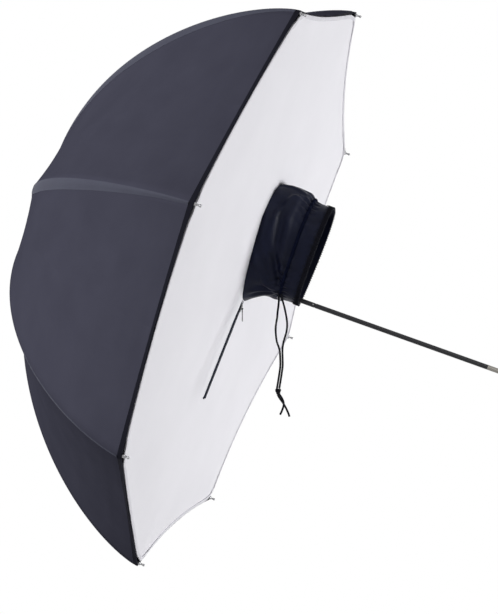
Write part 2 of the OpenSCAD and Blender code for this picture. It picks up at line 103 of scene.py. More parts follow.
# ---- sizes, in mm
# The umbrella's own frame: z runs up the shaft with 0 at the rim, x points at rib 1.
RIM_R = 508.0
CANOPY_H = 384.0
APEX_CURVE = 2.1
RIM_CURVE = 0.7
GORE_PULL = 0.05
HEM_PULL = 0.02
HEM_RISE = 8.0
RIBS = 8
GORE = 360.0 / RIBS
SHAFT_TILT = 22.0
GRIP_Z = -286.136
CROWN_R = 5.5  # where the cloth starts, round the shaft
RIB_DEPTH = 8.0  # below the cloth at the hem; the diffuser's hem keeps inside it
DIFFUSER_HEM_GAP = 1.2
DIFFUSER_WALL = 0.4
DIFFUSER_LIFT = -0.3  # its cloth lies just in front of the rim's plane
DIFFUSER_HEM = 7.0  # width of its folded edge
GORE_CHART = 390.0  # a hem's length on its map
SEAM_START = 0.035  # where the folded seams begin, as a share of the way out

# The flash sleeve: place along it, low and high edge, half width, share kept at the low edge
SLEEVE_LEN = 90.0
SLEEVE_START = 1.4
SLEEVE_SLANT = 0.1
SLEEVE_STATIONS = (
    (0.00, -32.0, 170.0, 98.0, 0.34),
    (0.25, -17.0, 174.0, 90.2, 0.38),
    (0.52, -9.0, 172.0, 75.5, 0.50),
    (0.60, -8.0, 167.0, 69.6, 0.56),
    (0.68, -7.0, 164.0, 67.6, 0.60),
    (1.00, -7.0, 163.0, 65.7, 0.66),
)
SLEEVE_MID = 75.0  # its middle, aside of the shaft
SLEEVE_ROUND = 0.58  # metres round its base, laid flat
CASING = (0.6096, 0.6704)  # the band that carries the drawcord
MOUTH_HEM = 0.92  # where the mouth's hem starts

ZIP_START = 38.0
ZIP_LEN = 172.0
ZIP_Z = -1.0  # the middle of its teeth
TAPE_W = 16.0
TAPE_RIDGE = 6.6  # the row of stitches along it, from its middle
PLATE_Z = 1.82  # the slider's two plates, each side of the teeth
SLIDER_AT = 47.0
LUG_DROP = -3.9  # the pull's pin, from the teeth
THREAD_R = 0.42  # sewing thread of overlock and tacks

CORD_LEFT = (
    (-213, -23, 80.5), (-213, -23, 74), (-213, -24, 66), (-214, -24, 58), (-215, -25, 49),
    (-216, -26, 38), (-218, -27, 25), (-218, -28, 11), (-216, -29, -3), (-212, -29, -15),
    (-211, -29, -29), (-211, -29, -43), (-213, -29, -57), (-215, -29, -69), (-217, -29, -80),
)
CORD_RIGHT = (
    (-209, -23, 79.5), (-208, -23, 74), (-206, -24, 66), (-204, -24, 58), (-202, -25, 49),
    (-200, -26, 38), (-199, -27, 25), (-201, -28, 11), (-205, -29, -2), (-207, -29, -15),
    (-207, -29, -29), (-207, -29, -43), (-209, -29, -57), (-211, -29, -69), (-213, -29, -80),
)
KNOT_AT = (-215, -29, -85)
TAIL_LEFT = (
    (-216, -28, -90), (-213, -27, -96), (-208, -27, -103), (-203, -27, -112), (-199, -27, -121),
    (-197, -27, -127),
)
TAIL_RIGHT = (
    (-213, -31, -90), (-209, -32, -96), (-206, -32, -103), (-206, -32, -110), (-209, -31, -118),
    (-212, -31, -124),
)

HELD = (
    Matrix.Scale(0.001, 4)
    @ Matrix.Rotation(math.radians(SHAFT_TILT - 90), 4, "Y")
    @ Matrix.Translation((0, 0, -GRIP_Z))
)

# ---- the photograph's image points
IMAGE_W, IMAGE_H = 498, 614
POINTS = {
    "left_edge": (9, 305),
    "top_edge": (300, 9),
    "bottom_edge": (128, 567),
    "corner_top_far": (356, 13),
    "corner_top_near": (300, 11),
    "corner_near": (194, 203),
    "corner_low_near": (121, 458),
    "corner_bottom": (137, 566),
    "corner_low_far": (209, 500),
    "corner_far": (288, 337),
    "corner_high_far": (346, 152),
    "apex_tip": (34.5, 205),
    "bare_end_start": (488, 365),
    "cord_eyelet": (279, 298),
    "knot": (278, 391),
    "zip_slider": (240, 309),
    "zip_end": (203.5, 398),
    "mouth_tack": (319, 198),
    "sleeve_front_high": (335, 206),
    "sleeve_low_left": (244, 300),
}

# The camera, settled on the rim's corners, the apex and the shaft's line
CAMERA_AZIMUTH = math.radians(8.685)
CAMERA_ELEVATION = math.radians(-11.78)
CAMERA_ROLL = math.radians(-0.4)
CAMERA_DISTANCE = 2.696  # metres from the middle of the rim
CAMERA_ASIDE = 0.0013
CAMERA_RISE = 0.0418
CAMERA_LENS = 93.52


# ---- small helpers
def linear(hex_colour):
    """An sRGB hex colour as the linear colour that a shader takes."""

    def channel(v):
        return v / 12.92 if v <= 0.04045 else ((v + 0.055) / 1.055) ** 2.4

    return tuple(channel(int(hex_colour[i : i + 2], 16) / 255) for i in (1, 3, 5)) + (1.0,)


def opaque(colour):
    return tuple(colour[:3]) + (1.0,)


def held(x, y, z):
    """A point of the umbrella's own frame, in mm, as it is held, in metres."""
    return HELD @ Vector((x, y, z))


def turned(direction):
    return (HELD.to_3x3() @ Vector(direction)).normalized()


def smoothstep(low, high, v):
    f = min(1.0, max(0.0, (v - low) / (high - low)))
    return f * f * (3 - 2 * f)


def ripple(x, y, seed):
    """A smooth wandering value between about -1 and 1, the same each run."""
    return (
        math.sin(1.00 * x + 1.7 * seed + 1.3 * math.sin(0.61 * y + seed))
        + 0.6 * math.sin(1.93 * x - 0.8 * y + 2.9 * seed)
        + 0.4 * math.sin(3.1 * y + 0.7 * x + 4.3 * seed)
    ) / 2.0


def linked(name, data):
    thing = bpy.data.objects.new(name, data)
    bpy.context.scene.collection.objects.link(thing)
    return thing


def meshed(name, bm):
    """An object of a bmesh, which is used up."""
    mesh = bpy.data.meshes.new(name)
    bm.to_mesh(mesh)
    bm.free()
    return linked(name, mesh)


def made(name, bm, finishes, body, in_umbrella=True, smooth=True, wall=0.0, inner_slot=0):
    """Turns a bmesh into a piece with these finishes that rides on a body; a drawing in the
    umbrella's frame is held up first. A sheet is given its wall, in mm."""
    if wall:
        walled(bm, wall, inner_slot)
    if in_umbrella:
        bmesh.ops.transform(bm, matrix=HELD, verts=bm.verts)
    piece = meshed(name, bm)
    for polygon in piece.data.polygons:
        polygon.use_smooth = smooth
    for coat in finishes.split():
        piece.data.materials.append(finish(coat))
    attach(piece, body)
    return piece


def walled(bm, wall, inner_slot):
    """Gives an open sheet its thickness inwards: a second skin, and a strip with crisp corners
    along each edge."""
    outer, corners = bm.faces[:], bm.verts[:]
    borders = [edge for edge in bm.edges if edge.is_boundary]
    bm.normal_update()
    copied = bmesh.ops.duplicate(bm, geom=corners + bm.edges[:] + outer)
    twin = copied["vert_map"]
    inner = [item for item in copied["geom"] if isinstance(item, bmesh.types.BMFace)]
    for vert in corners:
        twin[vert].co = vert.co - wall * vert.normal
    for face in inner:
        face.material_index = inner_slot
    bmesh.ops.reverse_faces(bm, faces=inner)
    layer = bm.loops.layers.uv.active
    for edge in borders:
        loop = edge.link_loops[0]
        first, second = loop.vert, loop.link_loop_next.vert
        maps = [loop.link_loop_next[layer].uv.copy(), loop[layer].uv.copy()]
        strip = bm.faces.new((second, first, twin[first], twin[second]))
        for side, place in zip(strip.loops, (maps[0], maps[1], maps[1], maps[0])):
            side[layer].uv = place
        edge.smooth = False
        bm.edges.get((twin[first], twin[second])).smooth = False
    bm.normal_update()


def cloth_grid(cells, place, chart, outward=None, welded=False):
    """A grid over 0..1 both ways, moved to place(s, t), with a map in mm from chart(s, t)."""
    bm = bmesh.new()
    bmesh.ops.create_grid(bm, x_segments=cells[0], y_segments=cells[1], size=0.5)
    bmesh.ops.translate(bm, verts=bm.verts, vec=(0.5, 0.5, 0))
    layer = bm.loops.layers.uv.new("cloth")
    for face in bm.faces:
        for loop in face.loops:
            loop[layer].uv = chart(loop.vert.co.x, loop.vert.co.y)
    for vert in bm.verts:
        vert.co = Vector(place(vert.co.x, vert.co.y))
    if welded:
        bmesh.ops.remove_doubles(bm, verts=bm.verts, dist=0.001)
    bm.normal_update()
    if outward:
        ahead = 0.0
        for f in bm.faces:
            ahead += f.normal.dot(Vector(outward(f.calc_center_median()))) * f.calc_area()
        if ahead < 0:
            bmesh.ops.reverse_faces(bm, faces=bm.faces)
    return bm


def area_of(bm):
    """The area of a drawing in mm, in square metres."""
    return sum(face.calc_area() for face in bm.faces) / 1e6


def away(c):
    """Outwards from the shaft and towards the crown, for the canopy's faces."""
    return (c.x, c.y, c.z * 0.6)


def frontwards(c):
    """Down the shaft, out of the umbrella's mouth, for the faces of diffuser and zip."""
    return (0, 0, -1)


def block(bm, size, at, bevel=0.0, segments=2, narrow=None):
    """A bevelled box; narrow is the axis and side whose end is thinned, and the share left."""
    verts = bmesh.ops.create_cube(bm, size=1.0)["verts"]
    bmesh.ops.scale(bm, vec=size, verts=verts)
    if narrow:
        axis, side, share = narrow
        for vert in verts:
            if side * vert.co[axis] > 0:
                vert.co.y *= share
    bmesh.ops.translate(bm, vec=at, verts=verts)
    if bevel:
        bmesh.ops.bevel(
            bm, geom=list({e for v in verts for e in v.link_edges}), offset=bevel,
            segments=segments, profile=0.5, affect="EDGES", material=-1,
        )


def rod(bm, start, end, length, segments=6):
    """A capped rod or cone along z, by its two radii."""
    return bmesh.ops.create_cone(
        bm, cap_ends=True, segments=segments, radius1=start, radius2=end, depth=length
    )["verts"]


def quarter_turn(bm, axis, verts):
    turn = Matrix.Rotation(math.pi / 2, 3, axis)
    bmesh.ops.rotate(bm, cent=(0, 0, 0), matrix=turn, verts=verts)


# ---- materials
WAVE_PERIOD = 0.314  # of the wave texture at a scale of 1


def put(tree, kind, inputs=None, out=None, **settings):
    """Adds one node: settings are its properties, inputs its sockets' values or what is linked
    into them. Gives the node, or the output that is asked for."""
    node = tree.nodes.new("ShaderNode" + kind)
    for key, value in settings.items():
        setattr(node, key, value)
    for key, value in (inputs or {}).items():
        if isinstance(value, bpy.types.NodeSocket):
            tree.links.new(value, node.inputs[key])
        else:
            node.inputs[key].default_value = value
    return node if out is None else node.outputs[out]


def fresh(name):
    """A new node material: its tree, its shader and its coordinates."""
    material = bpy.data.materials.new(name)
    material.use_nodes = True
    tree = material.node_tree
    tree.nodes.clear()
    shader = put(tree, "BsdfPrincipled")
    put(tree, "OutputMaterial", {"Surface": shader.outputs["BSDF"]})
    return material, tree, shader, put(tree, "TexCoord").outputs


def maths(tree, operation, *values):
    return put(tree, "Math", dict(enumerate(values)), "Value", operation=operation)


def mapped(tree, place, rotation, scale=(1, 1, 1)):
    inputs = {"Vector": place, "Rotation": rotation, "Scale": scale}
    return put(tree, "Mapping", inputs, "Vector")


def noise(tree, place, scale, detail, **more):
    inputs = {"Vector": place, "Scale": scale, "Detail": detail, **more}
    return put(tree, "TexNoise", inputs, "Fac")


def bands(tree, place, pitch, way, **more):
    """Soft bands across one axis at a pitch in the unit of the coordinates."""
    inputs = {"Vector": place, "Scale": WAVE_PERIOD / pitch, **more}
    return put(tree, "TexWave", inputs, "Fac", wave_type="BANDS", bands_direction=way)


def blended(tree, share, low, high):
    """A colour between two, by a share."""
    inputs = {"Factor": share, 6: opaque(low), 7: opaque(high)}
    return put(tree, "Mix", inputs, 2, data_type="RGBA")


def spread(tree, value, centre, swing):
    """Maps 0..1 to a range about a value."""
    ends = {"To Min": centre - swing, "To Max": centre + swing}
    return put(tree, "MapRange", {"Value": value, **ends}, "Result")


def dressed(tree, shader, colour, roughness, relief, values):
    """Joins colour, roughness and relief (height, strength, depth in metres) to a shader, and sets
    its other values."""
    height, strength, depth = relief
    inputs = {"Height": height, "Strength": strength, "Distance": depth}
    raised = put(tree, "Bump", inputs, "Normal")
    for socket, source in (("Base Color", colour), ("Roughness", roughness), ("Normal", raised)):
        tree.links.new(source, shader.inputs[socket])
    for socket, value in values.items():
        shader.inputs[socket].default_value = value


def woven(
    name, low, high, roughness, pitch, bump, specular, mottle, sheen=0.0, slant=0.0, metallic=0.0
):
    """Cloth in plain weave on its own map. low and high are its darker and lighter colour, pitch
    the drawn thread pitch and mottle the size of its faint uneven patches, both in mm."""
    material, tree, shader, coords = fresh(name)
    patches = noise(tree, coords["UV"], 1.0 / mottle, 4.0, Roughness=0.6)
    place = mapped(tree, coords["UV"], (0, 0, slant))
    warp, weft = (bands(tree, place, pitch, way, Distortion=0.4, Detail=1.0) for way in "XY")
    threads = maths(tree, "MULTIPLY", warp, weft)
    # Raised thread crossings take more of the lighter colour: a painted highlight on the weave,
    # added to the random patches
    share = maths(tree, "MULTIPLY_ADD", threads, 0.3, patches)
    values = {
        "Specular IOR Level": specular, "Sheen Weight": sheen, "Sheen Roughness": 0.45,
        "Sheen Tint": opaque(high), "Metallic": metallic,
    }
    dressed(
        tree, shader, blended(tree, share, low, high), spread(tree, patches, roughness, 0.05),
        (threads, bump, 0.0004), values,
    )
    return material


def steel(name, low, high, roughness, stretch, pitch):
    """Bare or plated steel. Fine marks, pitch mm apart, drawn out along one axis by stretch."""
    material, tree, shader, coords = fresh(name)
    along = mapped(tree, coords["Object"], (0, math.radians(SHAFT_TILT), 0), stretch)
    marks = noise(tree, along, 1000.0 / pitch, 3.0)
    dressed(
        tree, shader, blended(tree, marks, low, high), spread(tree, marks, roughness, 0.08),
        (marks, 0.15, 0.0002), {"Metallic": 1.0},
    )
    return material


def coated(name, low, high, roughness, grain, bump, specular=0.5, coat=0.0):
    """Paint, lacquer or moulded plastic: a faint mottle and a fine surface grain, in mm."""
    material, tree, shader, coords = fresh(name)
    mottle = noise(tree, coords["Object"], 60.0, 5.0)
    pores = noise(tree, coords["Object"], 1000.0 / grain, 2.0)
    values = {"Specular IOR Level": specular, "Coat Weight": coat, "Coat Roughness": 0.15}
    dressed(
        tree, shader, blended(tree, mottle, low, high), spread(tree, mottle, roughness, 0.07),
        (pores, bump, 0.0002), values,
    )
    return material


def braided(name, low, high, pitch):
    """Cord: strands crossing at a pitch in metres, drawn as slanting bands both ways."""
    material, tree, shader, coords = fresh(name)
    ways = []
    for slant in (0.7, -0.7):
        leaning = mapped(tree, coords["Object"], (0, slant, 0))
        ways.append(bands(tree, leaning, pitch, "Z", Distortion=0.5))
    braid = maths(tree, "MAXIMUM", *ways)
    # The braid's raised strands take the lighter colour and its grooves the darker one: painted
    # highlight and painted shade
    dressed(
        tree, shader, blended(tree, braid, low, high), spread(tree, braid, 0.775, 0.075),
        (braid, 0.6, 0.0006), {"Specular IOR Level": 0.15},
    )
    return material


# Each finish: how it is made, its darker and lighter colour, and its values
FINISHES = {
    # Black nylon taffeta with a thin polyurethane coat, so it has a soft sheen. Its threads are
    # 0.1 mm apart; they are drawn 2.4 mm apart, the finest that shows.
    "canopy_nylon": (woven, "canopy_dark", "canopy_light", dict(
        roughness=0.6, pitch=2.4, bump=0.12, specular=0.0, sheen=0.1, mottle=90.0)),
    # The canopy's inside: nylon with a vapour of aluminium, dull silver
    "silver_lining": (woven, "#A9AAAD", "#C2C3C6", dict(
        roughness=0.42, pitch=2.4, bump=0.12, specular=0.5, mottle=60.0, metallic=0.7)),
    # Folded and bound edges: dull black polyester, ribbed every 2 mm
    "binding_polyester": (woven, "binding_colour", "binding_colour", dict(
        roughness=0.8, pitch=2.0, bump=0.3, specular=0.04, mottle=30.0)),
    # The fold of canopy cloth beside a rib: two layers, so a little smoother; its paler colour is
    # painted highlight, the light that the raised fold catches
    "seam_nylon": (woven, "canopy_light", "seam_colour", dict(
        roughness=0.6, pitch=2.4, bump=0.15, specular=0.03, sheen=0.12, mottle=40.0)),
    # White translucent diffusion nylon, stretched; threads 0.15 mm apart, drawn 2 mm apart
    "diffuser_nylon": (woven, "diffuser_shade", "diffuser_colour", dict(
        roughness=0.75, pitch=2.0, bump=0.06, specular=0.12, mottle=120.0)),
    # The diffuser's folded hem: the same cloth three layers thick, greyer where black shows through
    "diffuser_binding": (woven, "diffuser_hem", "diffuser_shade", dict(
        roughness=0.8, pitch=2.0, bump=0.25, specular=0.1, mottle=25.0)),
    # Dense black polyester of a flash sleeve, with a navy cast; a 1.8 mm weave on the bias
    "sleeve_polyester": (woven, "cloth_dark", "cloth_light", dict(
        roughness=0.45, pitch=1.8, bump=0.35, specular=0.12, sheen=0.05, mottle=35.0, slant=0.6)),
    # The same polyester, gathered in the cord's casing, so matter; drawn with a 1.6 mm weave
    "casing_polyester": (woven, "cloth_dark", "cloth_light", dict(
        roughness=0.7, pitch=1.6, bump=0.5, specular=0.04, sheen=0.05, mottle=12.0)),
    # Herringbone tape of a zip: matt black polyester, 1.2 mm weave on the bias
    "zip_tape_weave": (woven, "cloth_dark", "cloth_light", dict(
        roughness=0.85, pitch=1.2, bump=0.5, specular=0.08, mottle=10.0, slant=0.785)),
    # Spun polyester thread, matt
    "overlock_thread": (coated, "thread_colour", "thread_colour", dict(
        roughness=0.85, grain=0.6, bump=0.4, specular=0.15)),
    # Close grey stitches
    "bar_tack": (coated, "tack_colour", "tack_colour", dict(
        roughness=0.8, grain=0.5, bump=0.4, specular=0.2)),
    # Braided polyester cord, a strand every 2.2 mm, with painted highlight on each strand's crest
    # and painted shade between
    "braided_cord": (braided, "cord_colour", "cord_light", dict(pitch=0.0022)),
    # Moulded nylon zip teeth: satin black
    "nylon_coil": (coated, "cloth_dark", "thread_colour", dict(
        roughness=0.45, grain=1.0, bump=0.1, specular=0.35)),
    # Zinc slider with black enamel, a little paler in faint patches
    "painted_slider": (coated, "cloth_dark", "thread_colour", dict(
        roughness=0.3, grain=1.5, bump=0.05, coat=0.3)),
    # Black stoving lacquer on steel tube: satin, with faint orange peel of about 2 mm
    "shaft_lacquer": (coated, "lacquer_dark", "lacquer_light", dict(
        roughness=0.38, grain=2.0, bump=0.05, specular=0.35)),
    # The tube's bare end, turned: fine rings round it, 0.4 mm apart, and a dull grey
    "bare_steel": (steel, "steel_dark", "steel_light", dict(
        roughness=0.42, stretch=(1.0, 0.12, 0.12), pitch=0.4)),
    # Nickel-plated tips and wires, rubbed by handling: marks 1.5 mm apart
    "plated_steel": (steel, "plate_dark", "plate_light", dict(
        roughness=0.3, stretch=(1.0, 1.0, 1.0), pitch=1.5)),
    # Injection-moulded black ABS with a fine spark-eroded grain of 0.5 mm
    "moulded_plastic": (coated, "#1A1A1C", "#26262A", dict(
        roughness=0.5, grain=0.5, bump=0.12, specular=0.4)),
}
MATERIALS = {}


def colour_of(name):
    """A colour by its hex, or by its name among the panel's properties."""
    if name.startswith("#"):
        return linear(name)
    looks = [getattr(bpy.context.scene, group) for group in GROUPS]
    return next(getattr(look, name) for look in looks if hasattr(look, name))


def finish(name):
    """Each material is made once."""
    if name not in MATERIALS:
        make, low, high, values = FINISHES[name]
        MATERIALS[name] = make(name, colour_of(low), colour_of(high), **values)
    return MATERIALS[name]


# ---- cloth's forms
def canopy_radius(u):
    return RIM_R * math.sin(math.radians(90 * u))


def meridian(u):
    r = canopy_radius(u)
    return Vector((r, CANOPY_H * max(0.0, 1 - (r / RIM_R) ** APEX_CURVE) ** RIM_CURVE))


def below(u, depth):
    """A point of the meridian over a rib, moved inwards by a depth."""
    slope = (meridian(min(1.0, u + 0.004)) - meridian(max(0.0, u - 0.004))).normalized()
    return meridian(u) + depth * Vector((slope.y, -slope.x))


def dip(a):
    """0 at a rib and 1 halfway between two ribs."""
    share = 0.5 * (1 + math.tan(math.radians(abs(a) - GORE / 2)) / math.tan(math.radians(GORE / 2)))
    return 4 * share * (1 - share)


def cloth_scale(u, a):
    """The cloth's distance from the shaft between the ribs, as a share of the rib's."""
    pull = GORE_PULL + (HEM_PULL - GORE_PULL) * u**3
    chord = math.cos(math.radians(GORE / 2)) / math.cos(math.radians(GORE / 2 - abs(a)))
    return chord * (1 - pull * dip(a))


def at_rib(r, a, k, z):
    """A point by its distance from the shaft and its angle from rib k."""
    turn = math.radians(a + GORE * (k - 1))
    return Vector((r * math.cos(turn), r * math.sin(turn), z))


def canopy_point(u, a, depth, k=1):
    """A point of the canopy's cloth at share u of the way out and angle a from rib k, with its
    tension wrinkles."""
    m = below(u, depth)
    r = m.x * cloth_scale(u, a)
    drawn = dip(a) * smoothstep(0.12, 0.4, u) * smoothstep(1.0, 0.8, u)
    r += drawn * 0.9 * ripple(u * 46.0, (a + GORE * k) * 0.09, 0.0)
    return at_rib(r, a, k, m.y + HEM_RISE * dip(a) * u**12)


def arc_share(length):
    """The share u of the way out at which the meridian's arc, back from the rim, is this long."""
    steps, run, last = 400, 0.0, meridian(1.0)
    for i in range(1, steps + 1):
        u = 1 - i / steps
        here = meridian(u)
        run += (here - last).length
        if run >= length:
            return u
        last = here
    return 0.0


MERIDIAN_LEN = sum((meridian((i + 1) / 200) - meridian(i / 200)).length for i in range(200))


def folding(piece):
    """Gives a gore's piece a mesh of its own."""
    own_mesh(piece)


def station(s):
    """The sleeve's section at share s of its length, eased between the stations."""
    rows = SLEEVE_STATIONS
    i = max(j for j in range(len(rows) - 1) if rows[j][0] <= s)
    before, after = rows[max(0, i - 1)], rows[min(len(rows) - 1, i + 2)]
    here, there = rows[i], rows[i + 1]
    f = (s - here[0]) / (there[0] - here[0])
    out = []
    for c in range(1, 5):
        run = there[0] - here[0]
        g0 = (there[c] - before[c]) / (there[0] - before[0]) * run
        g1 = (after[c] - here[c]) / (after[0] - here[0]) * run
        out.append(
            (2 * f**3 - 3 * f**2 + 1) * here[c] + (f**3 - 2 * f**2 + f) * g0
            + (3 * f**2 - 2 * f**3) * there[c] + (f**3 - f**2) * g1
        )
    return out


def power(v, e):
    return math.copysign(abs(v) ** e, v)


def sleeve_section(s, a, grow=0.0):
    """Across the umbrella at the sleeve's place s and angle a round it: x and y, grown out."""
    low, high, half_w, keep = station(s)
    mid, half = (low + high) / 2, (high - low) / 2
    c, d = math.cos(math.radians(a)), math.sin(math.radians(a))
    x = mid + (half + grow) * power(c, 0.62)
    up = (x - low + grow) / (2 * (half + grow))
    share = keep + (1 - keep) * max(0.0, min(1.0, up * 1.6)) ** 0.8
    return x, (half_w * share + grow) * power(d, 0.62)


def sleeve_point(s, a, grow=0.0):
    x, y = sleeve_section(s, a, grow)
    return Vector((x, y, -SLEEVE_START - SLEEVE_LEN * s + SLEEVE_SLANT * s * y))


# The place on the casing where the drawcord comes out, as an angle round the sleeve
EXIT_ANGLE = 202.0

# The large folds on the side that shows: height and half width in mm, then the crest's run as
# share of the sleeve's length and angle round it
CRESTS = (
    (4.2, 5.0, ((0.34, 306), (0.28, 294), (0.19, 279), (0.19, 270), (0.30, 265), (0.45, 258))),
    (3.0, 5.0, ((0.42, 312), (0.40, 276), (0.47, 264), (0.57, 244))),
    (3.6, 4.5, ((0.06, 256), (0.14, 248), (0.27, 234), (0.44, 212), (0.58, 204))),
    (3.8, 5.5, ((0.03, 276), (0.10, 268), (0.25, 257), (0.42, 238), (0.58, 212))),
    (-5.0, 6.0, ((0.22, 292), (0.28, 276), (0.36, 262), (0.48, 240), (0.58, 216))),
    (2.6, 5.0, ((0.05, 330), (0.25, 328), (0.50, 322))),
)


def crest_height(s, a):
    """The summed height of the large folds at a place of the sleeve."""
    here = Vector((s * SLEEVE_LEN, a * 1.5))
    total = 0.0
    for height, wide, run in CRESTS:
        points = [Vector((p * SLEEVE_LEN, q * 1.5)) for p, q in run]
        nearest = 1e9
        for start, end in zip(points, points[1:]):
            along = end - start
            f = min(1.0, max(0.0, (here - start).dot(along) / along.length_squared))
            nearest = min(nearest, (here - start - f * along).length)
        if nearest < 3 * wide:
            total += height * math.exp(-((nearest / wide) ** 2))
    return total


def sleeve_folds(s, a):
    """How far the sleeve's cloth stands off its plain form, in mm: folds that run from the base to
    the drawn casing and bunch towards the drawcord's eyelet, with small puckers at the casing."""
    around = (a - EXIT_ANGLE + 180) % 360 - 180
    reach = 2.0 * around
    back = (CASING[0] - s) * SLEEVE_LEN
    gathers = math.sin(math.radians(a) * 31 + 1.2 * ripple(a * 0.05, 0, 1))
    if s < CASING[0]:
        spread_angle = math.atan2(reach, back + 16)
        run = math.hypot(reach, back)
        fade = smoothstep(0.0, 0.22, s) * smoothstep(0.0, 20.0, run)
        sway = 0.8 * math.sin(back * 0.06) + 0.9 * ripple(run * 0.03, s * 3, 2)
        fan = math.sin(9.0 * spread_angle + sway)
        wide = 1.8 * fade * fan
        puckers = 1.5 * gathers * smoothstep(22, 2, back)
        ends = smoothstep(0.0, 0.06, s) * smoothstep(0.0, 5.0, back)
        return wide + crest_height(s, a % 360) * ends + puckers * smoothstep(0.0, 14.0, run + 6)
    after = (s - CASING[1]) * SLEEVE_LEN
    return 1.3 * gathers * smoothstep(12, 0, after) + 0.4 * ripple(a * 0.06, s * 5, 3)


def sleeve_cloth_point(s, t):
    a = 90 + 360 * t
    return sleeve_point(s, a, sleeve_folds(s, a))


def hole_radius(angle):
    """Distance from the shaft to the sleeve's base, in a direction of the umbrella's frame."""
    want = math.radians(angle)
    ring = [sleeve_section(0.0, 360 * i / 180, 0.4) for i in range(180)]
    best = 0.0
    for i, (x0, y0) in enumerate(ring):
        x1, y1 = ring[(i + 1) % len(ring)]
        dx, dy = math.cos(want), math.sin(want)
        cross = dx * (y1 - y0) - dy * (x1 - x0)
        if abs(cross) < 1e-9:
            continue
        r = (x0 * (y1 - y0) - y0 * (x1 - x0)) / cross
        f = (x0 * dy - y0 * dx) / cross
        if r > 0 and -1e-6 <= f <= 1 + 1e-6:
            best = max(best, r)
    return best


def diffuser_edge(a):
    """The diffuser is sewn inside the canopy's hem, with a notch at each rib's tip."""
    notch = math.exp(-((RIM_R * math.radians(a) / 16.0) ** 2))
    return (RIM_R - 1.6) * cloth_scale(1.0, a) - (RIB_DEPTH + DIFFUSER_HEM_GAP - 1.6) * notch


def diffuser_rise(a, from_edge):
    """How far the diffuser's cloth lifts off its plane, towards the hem between two ribs."""
    ease = smoothstep(1.0, 0.0, from_edge / 110.0) * min(1.0, abs(a) / 3.0)
    return (HEM_RISE * dip(a) - 0.6) * ease


# ---- properties
def colour_property(name, description, hex_colour):
    return bpy.props.FloatVectorProperty(
        name=name, description=description, default=linear(hex_colour)[:3], subtype="COLOR",
        size=3, min=0.0, max=1.0,
    )


def length_property(name, description, metres):
    return bpy.props.FloatProperty(
        name=name, description=description, default=metres, min=0.0, unit="LENGTH",
        subtype="DISTANCE",
    )


class UmbrellaCloth(bpy.types.PropertyGroup):
    """Colours and trim of the canopy and diffuser."""

    canopy_dark: colour_property("Canopy dark", "Darker colour of the canopy's nylon", "#3C3C48")
    canopy_light: colour_property("Canopy light", "Lighter colour of the canopy's nylon", "#474754")
    # The seam's colour is paler than the canopy's: painted highlight on the raised fold
    seam_colour: colour_property("Seam", "Colour of the folded seam beside each rib", "#50525E")
    binding_colour: colour_property("Binding", "Colour of the canopy's bound hem", "#1C1C24")
    diffuser_colour: colour_property("Diffuser", "Colour of the front diffuser", "#ECEBF0")
    diffuser_shade: colour_property("Diffuser shade", "Greyer colour of the diffuser", "#E4E3E8")
    diffuser_hem: colour_property("Diffuser hem", "Colour of the diffuser's folded edge", "#C9C8CE")
    seam_width: length_property("Seam width", "Width of the folded seam halfway out", 0.017)
    hem_width: length_property("Hem width", "Width of the canopy's bound hem", 0.007)
    cloth_thickness: length_property("Cloth thickness", "Thickness of the canopy's cloth", 0.0004)


class UmbrellaSleeve(bpy.types.PropertyGroup):
    """Colours and sizes of the flash sleeve, its cord and the zip."""

    cloth_dark: colour_property("Sleeve dark", "Darker colour of the sleeve's cloth", "#080B17")
    cloth_light: colour_property("Sleeve light", "Lighter colour of the sleeve's cloth", "#161B33")
    thread_colour: colour_property("Thread", "Colour of the overlock thread", "#15161E")
    cord_colour: colour_property("Cord", "Colour in the drawcord's braid", "#0E0E12")
    # The lighter colour on the braid's crests is a painted highlight
    cord_light: colour_property("Cord light", "Colour on top of the drawcord's braid", "#1E1E24")
    tack_colour: colour_property("Tack", "Colour of the bar tack at the sleeve's mouth", "#A6A6AC")
    cloth_thickness: length_property("Cloth thickness", "Thickness of the sleeve's cloth", 0.0008)
    cord_diameter: length_property("Cord diameter", "Thickness of the drawcord", 0.0034)
    tooth_pitch: length_property("Tooth pitch", "Distance between the zip's teeth", 0.0028)
    stitch_pitch: length_property("Stitch pitch", "Distance between the overlock's loops", 0.0042)


class UmbrellaMetal(bpy.types.PropertyGroup):
    """Colours of the shaft, ribs, tips and wires."""

    lacquer_dark: colour_property("Lacquer dark", "Darker colour of the lacquer", "#1B1B1F")
    lacquer_light: colour_property("Lacquer light", "Lighter colour of the lacquer", "#2A2A2F")
    steel_dark: colour_property("Bare steel dark", "Darker colour of the bare end", "#6F6C68")
    steel_light: colour_property("Bare steel light", "Lighter colour of the bare end", "#9A9791")
    plate_dark: colour_property("Plating dark", "Darker colour of the plated tips", "#77777A")
    plate_light: colour_property("Plating light", "Lighter colour of the plated tips", "#A8A8AA")


class UmbrellaStage(bpy.types.PropertyGroup):
    """Floor, background and lamps."""

    floor_colour: colour_property("Floor", "Colour of the floor", "#808080")
    background: colour_property("Background", "Colour behind the umbrella", "#FFFFFF")
    floor_glow: bpy.props.FloatProperty(
        name="Floor glow", description="How white the floor shows to the camera by itself",
        default=0.8, min=0.0, max=1.0,
    )
    floor_drop: length_property("Floor drop", "Distance from the umbrella down to the floor", 1.1)
    key_power: bpy.props.FloatProperty(
        name="Lamp power", description="The lamps' power; each lamp has a share of it",
        default=175.0, min=0.0, unit="POWER",
    )


# ---- image points
def camera_axes():
    az, el, roll = CAMERA_AZIMUTH, CAMERA_ELEVATION, CAMERA_ROLL
    ahead = Vector((-math.sin(az) * math.cos(el), math.cos(az) * math.cos(el), -math.sin(el)))
    right = Vector((math.cos(az), math.sin(az), 0))
    up = right.cross(ahead)
    return (
        math.cos(roll) * right + math.sin(roll) * up,
        -math.sin(roll) * right + math.cos(roll) * up,
        ahead,
    )


